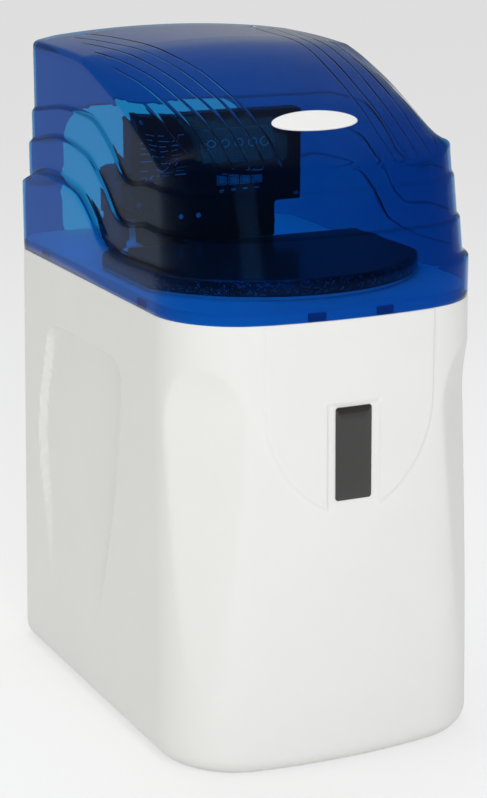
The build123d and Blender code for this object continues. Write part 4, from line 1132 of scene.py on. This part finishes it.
        def block(name: str, outline: list[Pair], low: float, high: float) -> bpy.types.Object:
            """Prism along Y about the pocket's middle."""
            return prism(name, outline, low, high, lambda u, v, w: (x + u, w, z + v))

        walls = round_box(half_u + self.wall, half_v + self.wall, 6.0)
        space = round_box(half_u, half_v, 3.0)
        cut(tub, block("pocket_walls", walls, floor - self.wall, self.top.back - 3.0), Way.ADD)
        cut(tub, block("pocket_space", space, floor, self.base.back + 10.0))
        cut(tub, block("pocket_hole", circle(self.barb_hole, 40), floor - 12.0, floor + 5.0))
        tub.data.shade_smooth()
        tub.data.set_sharp_from_angle(angle=math.radians(self.crease))


@dataclass(frozen=True)
class Skin:
    """How one skin of the hood is drawn.

    Attributes:
        depth: Share of the wall's thickness at which it lies.
        steps: Rows in each stretch of the wall.
        turns: Rows in the rounded edge.
        pitch: Spacing of the roof's points.
        margin: Their least distance from the edge.
        grooved: Whether it carries the grooves.
    """

    depth: float
    steps: tuple[int, ...]
    turns: int
    pitch: float
    margin: float
    grooved: bool


class Surface(Enum):
    """The two skins of the hood."""

    OUTSIDE = Skin(0.0, (9, 6, 8, 6, 8, 6, 12), 8, 5.0, 1.2, True)
    INSIDE = Skin(1.0, (5, 6, 4, 6, 4, 6, 6), 4, 9.0, 3.0, False)


@dataclass
class Hood:
    """The translucent hood: smooth dome, faceted shoulders and three stepped plates a side.

    Attributes:
        joint: Height of the joint with the tub.
        top: Height of the crown.
        wall: Thickness of the shell.
        half: Half width of the skirt.
        front: Front of the skirt.
        back: Back of the hood.
        reach: Length from the front over which the sides draw in to the front slope.
        rear_in: Where the inset of the back begins, and the length over which it grows.
        side_in: Side inset of the skirt, the two plates and the body.
        front_in: How far the skirt and the plates stand before the front slope.
        slope: Foot and top of the front slope, and its inset at the top.
        soft: Half height of the soft step over a plate.
        waves: Lower edge of body, upper and lower plate, as y and z.
        edge_radius: Radius of the roof's edge at the sides, the back and the front.
        crown: Radius of the crown across the hood, at the front and at the back.
        crown_run: Length behind the middle over which that radius changes.
        spine: Ridge line of the dome, as y and z.
        grooves: Fine grooves a side, as y and x, from the front to where they fade.
        groove_depth: Depth of a groove.
        groove_half: Half of its width.
        groove_fade: Length over which its back end fades.
        groove_mesh: Distances from a groove's middle at which the mesh has its points.
        groove_step: Distance between these points along the groove.
        groove_room: Distance at which the other points of the roof keep clear of them.
        painted_plate_edge_shade: Share of the painted shade under each plate's edge at the front, and
            on the sides.
        facet_slope: Fall of the shoulder facet for each millimetre forward.
        facet_start: Where the facet begins.
        facet_wide: Width of the facet.
        facet_soft: Softness of its inner edge, as a share of its width.
        facet_front: Distance of its front end from the hood's front, and the run of that end.
        rear_notch: Half width, top and corner radius of the opening at the back.
        counts: Steps of the outline.
    """

    joint: float = 455.0
    top: float = 691.0
    wall: float = 3.0
    half: float = 167.0
    front: float = -243.0
    back: float = 243.0
    reach: float = 178.0
    rear_in: Pair = (150.0, 93.0)
    side_in: tuple[float, float, float, float] = (0.0, 6.8, 10.0, 12.5)
    front_in: tuple[float, float, float, float] = (1.9, 1.2, 0.5, 0.0)
    slope: Triple = (485.0, 597.0, 29.0)
    soft: float = 3.2
    waves: tuple[Curve, Curve, Curve] = (
        Curve(((-243, 497), (-150, 497.5), (-37, 498), (-11, 503.5), (15, 524), (42, 540), (80, 547.5),
               (113, 550), (173, 545), (214, 532), (243, 521))),
        Curve(((-243, 534), (-120, 535), (-33, 537), (-13, 554), (12, 569.5), (27, 578), (60, 586),
               (111, 590), (192, 578), (243, 568))),
        Curve(((-243, 575), (-120, 575), (-48, 576), (-22, 596), (0, 609), (25, 619), (60, 622),
               (103, 622), (181, 612), (243, 604))))
    edge_radius: Triple = (5.0, 14.0, 3.0)
    crown: Pair = (720.0, 1150.0)
    crown_run: float = 170.0
    spine: Curve = Curve((
        (-214, 597), (-192, 612.5), (-168, 627), (-142, 640.5), (-112, 652.8), (-83, 662.5),
        (-46, 673.8), (-6, 683.0), (30, 688.8), (62, 690.8), (120, 691), (243, 691)))
    grooves: tuple[tuple[Pair, ...], ...] = (
        ((-210, 60), (-192, 59), (-174, 58), (-160, 59), (-119, 61), (-83, 64.5), (-51, 67.5),
         (-29, 70.5), (-6, 74), (22, 77.5), (55, 80), (93, 82), (130, 85.5), (161, 90), (190, 99),
         (202, 106)),
        ((-206, 76), (-186, 74), (-148, 75), (-107, 77), (-82, 80), (-51, 83.5), (-22, 87), (5, 90.5),
         (31, 94), (62, 97.5), (91, 101.5), (124, 106), (158, 112), (179, 118)),
        ((-204, 89), (-174, 89), (-134, 90), (-109, 92.5), (-82, 96), (-60, 99), (-33, 102.5),
         (-4, 106), (21, 109.5), (50, 113), (80, 117), (111, 121), (137, 125.5)),
        ((-198, 105), (-156, 105), (-119, 108), (-97, 110.5), (-72, 113), (-47, 115.5), (-23, 118.5),
         (5, 122.5), (33, 127), (60, 132), (79, 135.5)),
        ((-185, 119), (-146, 120), (-120, 122), (-97, 124), (-73, 126), (-48, 128.5), (-23, 131),
         (1, 134.5), (24, 138)),
        ((-165, 134), (-130, 135), (-107, 136), (-80, 138), (-63, 140)))
    groove_depth: float = 0.9
    groove_half: float = 0.75
    groove_fade: float = 14.0
    groove_mesh: tuple[float, ...] = (-2.0, -0.85, -0.4, 0.0, 0.4, 0.85, 2.0)
    groove_step: float = 3.0
    groove_room: float = 2.4
    painted_plate_edge_shade: tuple[Triple, float] = ((0.1, 0.3, 0.08), 0.5)
    facet_slope: float = 0.145
    facet_start: float = 62.0
    facet_wide: float = 30.0
    facet_soft: float = 0.15
    facet_front: Pair = (62.0, 50.0)
    rear_notch: Triple = (108.5, 604.0, 32.0)
    counts: tuple[int, ...] = (34, 34, 84, 14, 20)

    def skirt(self) -> np.ndarray:
        """Outline at the joint, from which the columns take their y."""
        return Outline(self.half, self.front, self.back).ring(self.counts)

    def ring(self, side: np.ndarray, ahead: np.ndarray, inset: float) -> np.ndarray:
        """Ring whose insets change from column to column.

        Args:
            side: Inset of the sides and back at each column.
            ahead: Inset of the front at each column.
            inset: Further inset, for the inner skin.

        Returns:
            Points and normals.
        """
        plan = self.skirt()
        out = plan.copy()
        out[:, 0] *= (self.half - side) / self.half
        share = np.clip((self.front + self.reach - plan[:, 1]) / self.reach, 0, 1)
        back = smooth((plan[:, 1] - self.rear_in[0]) / self.rear_in[1])
        out[:, 1] += ahead * share - side * back
        out[:, :2] -= plan[:, 2:] * inset
        return out

    def rim(self, inset: float) -> np.ndarray:
        """Outline of the roof, as flat points.

        Args:
            inset: Further inset, for the inner skin.

        Returns:
            The points.
        """
        count = len(self.skirt())
        sides, ahead = np.full(count, self.side_in[3]), np.full(count, self.slope[2])
        return self.ring(sides, ahead, inset)[:, :2]

    def roof(self, x: np.ndarray, y: np.ndarray, edge: np.ndarray) -> np.ndarray:
        """Height of the roof.

        Args:
            x: Places across.
            y: Places along.
            edge: Distance of each place from the outline.

        Returns:
            The heights.
        """
        front, back = self.crown
        axis = self.top - (front + (back - front) * smooth(y / self.crown_run))
        z = axis + np.sqrt((np.minimum(self.spine.at(y), self.top) - axis) ** 2 - x**2)
        fall = np.maximum(0, self.facet_slope * (self.facet_start - y))
        ahead = smooth((y - (self.front + self.facet_front[0])) / self.facet_front[1])
        soft = self.facet_soft
        near = soft * np.logaddexp(0, (1 - edge / self.facet_wide) / soft)
        return z - fall * ahead * near

    def groove(self, x: np.ndarray, y: np.ndarray) -> np.ndarray:
        """Depth of the grooves at places on the roof.

        Args:
            x: Places across.
            y: Places along.

        Returns:
            One depth per place.
        """
        deep = np.zeros_like(x)
        for line in self.grooves:
            start, end = line[0][0], line[-1][0]
            ys = np.clip(y, start, end)
            miss = np.abs(np.abs(x) - Curve(line).at(ys)) + np.abs(y - ys)
            fade = smooth((end - y) / self.groove_fade)
            deep = np.maximum(deep, self.groove_depth * smooth(1.15 - miss / self.groove_half) * fade)
        return deep

    def groove_points(self) -> np.ndarray:
        """Points of the roof along and beside each groove, on both sides.

        Returns:
            Flat points.
        """
        rows = []
        for line in self.grooves:
            run = np.arange(line[0][0] - 2.0, line[-1][0], self.groove_step)
            for shift in self.groove_mesh:
                for side in (1, -1):
                    rows.append(np.column_stack([side * (Curve(line).at(run) + shift), run]))
        return np.vstack(rows)

    def walls(self, skin: Skin) -> tuple[list[np.ndarray], np.ndarray]:
        """Rings of the wall, from the joint up to the roof's edge, and the rounding radius.

        Args:
            skin: Outside or inside.

        Returns:
            The rings and the radius at each column.
        """
        plan = self.skirt()
        inset = self.wall * skin.depth
        edges = [wave.at(plan[:, 1]) for wave in self.waves]
        rim = self.rim(inset)
        back = smooth((plan[:, 3] - 0.2) / 0.7)
        front = smooth((-plan[:, 3] - 0.5) / 0.4)
        beside, behind, ahead = self.edge_radius
        radius = beside + (behind - beside) * back + (ahead - beside) * front
        eave = self.roof(rim[:, 0], rim[:, 1], np.zeros(len(plan))) - inset - radius
        fence = [np.full(len(plan), self.joint)]
        for edge in edges:
            fence += [edge - self.soft, edge + self.soft]
        fence.append(eave)
        for k in range(1, len(fence)):
            fence[k] = np.maximum(fence[k], fence[k - 1] + 0.4)
        fence[-1] = np.maximum(eave, fence[-2] + 0.5)
        rings = []
        for k, count in enumerate(skin.steps):
            for t in np.linspace(0, 1, count, endpoint=False):
                rings.append(self.row(fence[k] + (fence[k + 1] - fence[k]) * t, edges, inset))
        rings.append(self.row(fence[-1], edges, inset))
        return rings, radius

    def row(self, z: np.ndarray, edges: list[np.ndarray], inset: float) -> np.ndarray:
        """One ring of the wall, at its own height in each column.

        Args:
            z: Height at each column.
            edges: Lower edges of the plates at each column.
            inset: Further inset, for the inner skin.

        Returns:
            The ring's points.
        """
        side = np.full(len(z), self.side_in[0])
        proud = np.full(len(z), self.front_in[0])
        for k, edge in enumerate(edges):
            t = smooth((z - edge + self.soft) / (2 * self.soft))
            side = side + (self.side_in[k + 1] - self.side_in[k]) * t
            proud = proud + (self.front_in[k + 1] - self.front_in[k]) * t
        low, high, deep = self.slope
        lean = deep * np.clip((z - low) / (high - low), 0, 1.0)
        ring = self.ring(side, np.maximum(0, lean - proud), inset)
        return np.column_stack([ring[:, :2], z])

    def surface(self, skin: Skin) -> tuple[np.ndarray, list[tuple[int, ...]], int]:
        """Points and faces of one skin.

        Args:
            skin: Outside or inside.

        Returns:
            Points, faces, and the number of points once round.
        """
        rings, radius = self.walls(skin)
        inset = self.wall * skin.depth
        normals = self.skirt()[:, 2:]
        rim = self.rim(inset)
        for a in np.linspace(0, math.pi / 2, skin.turns)[1:]:
            t = radius * (1 - math.cos(a))
            x, y = (rim - normals * t[:, None]).T
            z = self.roof(x, y, t + inset) - inset - radius * (1 - math.sin(a))
            rings.append(np.column_stack([x, y, z]))
        verts = np.vstack(rings)
        count = len(rim)
        inner, more = self.fill(rings[-1], rim, skin, len(verts) - count)
        return np.vstack([verts, inner]), ring_faces(len(rings), count) + more, count

    def fill(self, edge: np.ndarray, rim: np.ndarray, skin: Skin,
             first: int) -> tuple[np.ndarray, list[tuple[int, ...]]]:
        """Triangles over the roof inside its rounded edge.

        Args:
            edge: The last ring of the rounding.
            rim: The outline of the roof.
            skin: Outside or inside.
            first: Number of the ring's first point.

        Returns:
            The further points and the faces.
        """
        xs, ys = np.meshgrid(np.arange(-150, 151, skin.pitch), np.arange(-212, 241, skin.pitch))
        sheet = np.column_stack([xs.ravel(), ys.ravel()])
        if skin.grooved:
            lines = self.groove_points()
            sheet = np.vstack([sheet[far_apart(sheet, lines, self.groove_room)], lines])
        room = inside_distance(sheet, edge[:, :2])
        points = np.vstack([edge[:, :2], sheet[room > skin.margin]])
        count = len(edge)
        loop = [(i, (i + 1) % count) for i in range(count)]
        made = delaunay_2d_cdt([Vector(p) for p in points], loop, [], 1, 1e-5)
        flat = np.array([tuple(v) for v in made[0]])
        inset = self.wall * skin.depth
        near = inside_distance(flat, rim) + inset
        z = self.roof(flat[:, 0], flat[:, 1], near) - inset
        if skin.grooved:
            z = z - self.groove(flat[:, 0], flat[:, 1])
        number = {}
        kept = []
        for i, source in enumerate(made[3]):
            if source and source[0] < count:
                number[i] = first + source[0]
            else:
                number[i] = first + count + len(kept)
                kept.append((flat[i, 0], flat[i, 1], z[i]))
        return np.array(kept), [tuple(number[i] for i in face) for face in made[2]]

    def build(self) -> bpy.types.Object:
        """Build the shell with its wall thickness and the opening at the back.

        Returns:
            The hood.
        """
        outer, faces, count = self.surface(Surface.OUTSIDE.value)
        inner, more, _ = self.surface(Surface.INSIDE.value)
        shift = len(outer)
        faces = faces + [tuple(reversed([i + shift for i in face])) for face in more]
        faces += [(i, (i + 1) % count, (i + 1) % count + shift, i + shift) for i in range(count)]
        shell = mesh_object("hood_shell", np.vstack([outer, inner]), faces)
        clean(shell)
        half, high, radius = self.rear_notch
        low = self.joint - 10
        outline = [(u, v + (high + low) / 2) for u, v in round_box(half, (high - low) / 2, radius)]
        cut(shell, prism("notch_tool", outline, self.back - 60, self.back + 20,
                         lambda u, v, w: (u, w, v)))
        shell.data.shade_smooth()
        # Store the share of painted shade along the grooves and the plates' edges.
        places = np.array([tuple(v.co) for v in shell.data.vertices]) / MM
        lines = shell.data.attributes.new("painted_line_share", "FLOAT", "POINT")
        lines.data.foreach_set("value", self.painted_line_shade(places))
        return shell

    def painted_line_shade(self, places: np.ndarray) -> np.ndarray:
        """Share of painted shade in the grooves and under the edges of the plates, where the tint
        deepens.

        Args:
            places: Points of the finished shell.

        Returns:
            One share per point.
        """
        x, y, z = places.T
        deep = self.groove(x, y) / self.groove_depth
        lined = deep > 0
        edge = inside_distance(places[lined, :2], self.rim(0.0))
        drop = self.roof(x[lined], y[lined], edge) - z[lined]
        # Painted shade in the grooves, where they cut into the wall.
        mark = np.zeros_like(x)
        mark[lined] = 0.85 * deep[lined] * smooth(0.8 * self.wall - drop)
        # Painted shade in a band just under each plate's edge.
        side = smooth((y + 225.0) / 90.0)
        fronts, full = self.painted_plate_edge_shade
        for wave, front in zip(self.waves, fronts):
            near = smooth(1.6 - np.abs(z - wave.at(y) + 1.2) / 1.2)
            mark = np.maximum(mark, (front + (full - front) * side) * near)
        return mark


@dataclass
class Front:
    """Bare glossy plate in the apron's notch and bare oval badge on the hood.

    Attributes:
        plate: Half width, half height and corner radius of the plate.
        plate_mid: Height of the plate's middle.
        plate_edge: Inset and rise of each ring of the plate's rounded edge.
        badge: Half length and half width of the badge.
        badge_y: Y of the badge's middle.
        badge_edge: Share of the oval and rise of each ring, from the middle below to that above.
    """

    plate: Triple = (19.5, 46.5, 3.0)
    plate_mid: float = 322.5
    plate_edge: tuple[Pair, ...] = ((0.0, 0.05), (0.0, 1.0), (0.15, 1.35), (0.5, 1.5))
    badge: Pair = (46.0, 16.2)
    badge_y: float = -158.0
    badge_edge: tuple[Pair, ...] = (
        (0.001, 0.06), (0.6, 0.06), (1.0, 0.06), (1.0, 0.5), (0.985, 0.85), (0.95, 1.02), (0.88, 1.1),
        (0.6, 1.1), (0.3, 1.1), (0.001, 1.1))

    def plate_piece(self, tub: Cabinet) -> bpy.types.Object:
        """Build the plate, bowed with the front and with a rounded edge.

        Args:
            tub: The tub that carries it.

        Returns:
            The plate.
        """
        half_u, half_v, radius = self.plate
        centre, low, high = 0.001, self.plate_edge[0][1], self.plate_edge[-1]
        full = np.array(round_box(half_u, half_v, radius))
        face = np.array(round_box(half_u - high[0], half_v - high[0], radius))
        rings = [self.on_front(tub, full * centre, low)]
        for inset, rise in self.plate_edge:
            edge = np.array(round_box(half_u - inset, half_v - inset, radius - inset))
            rings.append(self.on_front(tub, edge, rise))
        for share in (0.66, 0.33, centre):
            rings.append(self.on_front(tub, face * share, high[1]))
        return loop_grid("name_plate_blank", rings)

    def on_front(self, tub: Cabinet, flat: np.ndarray, rise: float) -> np.ndarray:
        """Points that stand a little way in front of the tub's front.

        Args:
            tub: The tub.
            flat: Places as x and height over the plate's middle.
            rise: Distance in front of the tub.

        Returns:
            The points.
        """
        x, z = flat[:, 0], flat[:, 1] + self.plate_mid
        bow = tub.top.bow
        y = tub.front_at(z / tub.height) + bow - np.sqrt(bow**2 - x**2) - rise
        return np.column_stack([x, y, z])

    def badge_piece(self, hood: Hood) -> bpy.types.Object:
        """Build the badge as a thin oval that follows the dome.

        Args:
            hood: The hood that carries it.

        Returns:
            The badge.
        """
        long, wide = self.badge
        slope = (hood.spine.at(self.badge_y + 2) - hood.spine.at(self.badge_y - 2)) / 4
        tilt = math.atan(float(slope))
        a = np.linspace(0, 2 * math.pi, 96, endpoint=False)
        rings = []
        for share, rise in self.badge_edge:
            x = long * share * np.cos(a)
            y = self.badge_y + wide * share * np.sin(a) * math.cos(tilt)
            z = hood.roof(x, y, np.full_like(x, INLAND))
            rings.append(np.column_stack([x, y - rise * math.sin(tilt), z + rise * math.cos(tilt)]))
        return loop_grid("badge_blank", rings)


@dataclass
class ControlFace:
    """Printed marks and key rims on the front of the control head.

    Attributes:
        face: Y of the cover's front.
        sunk: How far a mark reaches into it.
        proud: Thickness of a printed mark.
        keys: X of each key's middle.
        key_z: Height of the keys.
        key_rim: Half sizes and radius of a key's rim, outside and inside.
        key_dash: How far the dash lies under its key, and its half sizes and radius.
        icons: X of each ring of the display.
        icon_z: Height of the rings.
        icon_rim: Radius of a ring, outside and inside.
        lines: Heights of the rows of dashes.
        line_x: Start of the dashes and the way from one to the next.
        dashes: Half lengths of the dashes, used in turn.
        dash: Half thickness of a dash and its radius.
        dot: Half sizes and radius of the point that closes a dash.
    """

    face: float = 64.0
    sunk: float = 0.02
    proud: float = 0.15
    keys: tuple[float, ...] = (4.0, 17.8, 31.6, 45.4)
    key_z: float = 541.0
    key_rim: tuple[Triple, Triple] = ((6.0, 6.0, 1.4), (5.1, 5.1, 0.8))
    key_dash: tuple[float, Triple] = (11.0, (2.6, 0.9, 0.4))
    icons: tuple[float, ...] = (-8.0, 8.0, 24.0, 40.0, 54.0)
    icon_z: float = 579.0
    icon_rim: Pair = (5.2, 4.0)
    lines: tuple[float, ...] = (592.0, 586.0, 580.0, 574.0, 566.0, 556.0, 550.0)
    line_x: Pair = (-88.0, 18.0)
    dashes: tuple[float, ...] = (6.8, 4.2, 7.4, 5.2)
    dash: Pair = (0.55, 0.3)
    dot: Triple = (0.1, 0.1, 0.05)

    def band(self, outer: list[Pair], inner: list[Pair]) -> list[Triple]:
        """Points of a thin flat ring between two outlines of equal count.

        Args:
            outer: Outer outline as x and z.
            inner: Inner outline as x and z.

        Returns:
            Its four rings of points, one after the other.
        """
        back, top = self.face - self.sunk, self.face - self.proud
        layers = ((outer, back), (outer, top), (inner, top), (inner, back))
        return [(x, y, z) for line, y in layers for x, z in line]

    def frame_band(self, x: float, z: float, outer: Triple, inner: Triple) -> list[Triple]:
        """Band between two rounded rectangles about a place."""
        lines = [[(x + u, z + v) for u, v in round_box(*half, 4)] for half in (outer, inner)]
        return self.band(*lines)

    def build(self) -> bpy.types.Object:
        """Build every printed mark as one thin mesh.

        Returns:
            The marks.
        """
        bands = []
        for x in self.keys:
            bands.append(self.frame_band(x, self.key_z, *self.key_rim))
            bands.append(self.frame_band(x, self.key_z - self.key_dash[0], self.key_dash[1], self.dot))
        for x in self.icons:
            bands.append(self.band(*(circle(r, 36, x, self.icon_z) for r in self.icon_rim)))
        for row, z in enumerate(self.lines):
            for k in range(3):
                half = self.dashes[(row + k) % len(self.dashes)]
                x = self.line_x[0] + self.line_x[1] * k + half
                bands.append(self.frame_band(x, z, (half, *self.dash), self.dot))
        verts, faces = [], []
        for band in bands:
            shift = len(verts)
            verts += band
            faces += [tuple(i + shift for i in f) for f in ring_faces(4, len(band) // 4, closed=True)]
        return mesh_object("head_marks", np.array(verts), faces)


@dataclass(frozen=True)
class Lamp:
    """Soft box that points at the object and doesn't show in its gloss.

    Attributes:
        name: Name of the lamp.
        place: Its place in metres.
        power: Its power in watts.
        size: Its width and height in metres.
        tone: Colour of its light.
        aim: Point that it lights.
    """

    name: str
    place: Triple
    power: float
    size: Pair
    tone: Triple = (1.0, 1.0, 1.0)
    aim: Triple = (0.0, 0.0, 0.4)

    def build(self) -> None:
        """Set up the lamp."""
        data = bpy.data.lights.new(self.name, "AREA")
        data.shape = "RECTANGLE"
        data.size, data.size_y = self.size
        data.energy = self.power
        data.color = self.tone
        set_up(self.name, data, self.place, self.aim).visible_glossy = False


def set_up(name: str, data: bpy.types.ID, place: Triple, aim: Triple) -> bpy.types.Object:
    """Stand a lamp or camera at a place and turn it to a point.

    Args:
        name: Name of the object.
        data: The lamp's or camera's data.
        place: Its place in metres.
        aim: The point in metres.

    Returns:
        The object.
    """
    piece = bpy.data.objects.new(name, data)
    piece.location = place
    piece.rotation_euler = (Vector(aim) - Vector(place)).to_track_quat("-Z", "Y").to_euler()
    bpy.context.scene.collection.objects.link(piece)
    return piece


@dataclass
class Studio:
    """Floor, lamps and camera.

    Attributes:
        place: Camera place in metres.
        aim: Point that the camera looks at.
        lens: Focal length for a picture of the sensor's height.
        sensor: Height of the sensor.
        floor: Half of the floor's side in metres.
        glow: Share of the floor's own light that the camera sees.
        lamps: The soft boxes.
        sky: Strength of the world's light.
    """

    place: Triple = (-0.9955, -2.0943, 0.9402)
    aim: Triple = (0.001, 0.004, 0.3153)
    lens: float = 102.22
    sensor: float = 36.0
    floor: float = 30.0
    glow: float = 0.6
    lamps: tuple[Lamp, ...] = (
        Lamp("front_box", (-0.5, -2.9, 1.6), 43.0, (1.4, 1.6)),
        Lamp("left_box", (-2.6, 0.2, 1.5), 12.0, (1.0, 1.6), tone=(1.0, 1.0, 0.9)),
        Lamp("top_box", (0.1, 0.5, 2.6), 22.0, (1.4, 1.0)))
    sky: float = 0.36

    def camera(self) -> None:
        """Set the camera at the photograph's viewing angle."""
        data = bpy.data.cameras.new("camera")
        data.sensor_fit = "VERTICAL"
        data.sensor_height = self.sensor
        data.lens = self.lens
        data.clip_end = 100.0
        bpy.context.scene.camera = set_up("camera", data, self.place, self.aim)

    def ground(self) -> None:
        """Pale floor that the camera sees nearly white, with the object's shadow."""
        far = self.floor / MM
        corners = np.array([(-far, -far, 0), (far, -far, 0), (far, far, 0), (-far, far, 0)])
        floor = mesh_object("floor", corners, [(0, 1, 2, 3)])
        made = bpy.data.materials.new("floor_pale")
        made.use_nodes = True
        net = Net(made.node_tree)
        shader = made.node_tree.nodes["Principled BSDF"]
        shader.inputs["Base Color"].default_value = (0.9, 0.9, 0.9, 1.0)
        shader.inputs["Roughness"].default_value = 0.9
        shader.inputs["Specular IOR Level"].default_value = 0.1
        path = net.add("LightPath").outputs
        seen = net.math("MAXIMUM", path["Is Camera Ray"], path["Is Glossy Ray"]).outputs[0]
        seen = net.math("MAXIMUM", seen, path["Is Transmission Ray"]).outputs[0]
        net.finish(net.product(seen, self.glow), shader, net.add("Emission", Strength=1.0))
        floor.data.materials.append(made)

    def build(self) -> None:
        """Set the camera, floor, lamps and world."""
        self.camera()
        self.ground()
        for lamp in self.lamps:
            lamp.build()
        world = bpy.data.worlds.new("studio")
        world.use_nodes = True
        world.node_tree.nodes["Background"].inputs["Color"].default_value = (1.0, 1.0, 1.0, 1.0)
        world.node_tree.nodes["Background"].inputs["Strength"].default_value = self.sky
        bpy.context.scene.world = world
        bpy.context.scene.view_settings.view_transform = "Standard"


def settle_piece(piece: bpy.types.Object, body: str, node: str, finish: Finish) -> None:
    """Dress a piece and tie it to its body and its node.

    Args:
        piece: The piece.
        body: Body that it rides on.
        node: Node that it replaces, or an empty name.
        finish: Its finish.
    """
    dress(piece, finish)
    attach(piece, body)
    if node:
        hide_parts(node)
    log.info("built %s on %s", piece.name, body)


def main() -> None:
    """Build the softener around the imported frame."""
    logging.basicConfig(level=logging.INFO)
    EFFECTS.build()
    Studio().build()
    cabinet, hood, front = Cabinet(), Hood(), Front()
    settle_piece(cabinet.build(), "tub", "cabinet_shell", TUB_WHITE)
    settle_piece(hood.build(), "hood", "hood_cover", HOOD_BLUE)
    settle_piece(front.plate_piece(cabinet), "tub", "front_plate", PLATE_BLACK)
    settle_piece(front.badge_piece(hood), "hood", "hood_badge", BADGE_WHITE)
    settle_piece(ControlFace().build(), "tub", "", KEY_GREY)
    finishes = {node: finish for finish, nodes in CARRIED.items() for node in nodes}
    for node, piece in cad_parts.items():
        if node not in REPLACED:
            dress(piece, finishes[node])
            log.info("dressed %s", node)


if __name__ == "__main__":
    main()
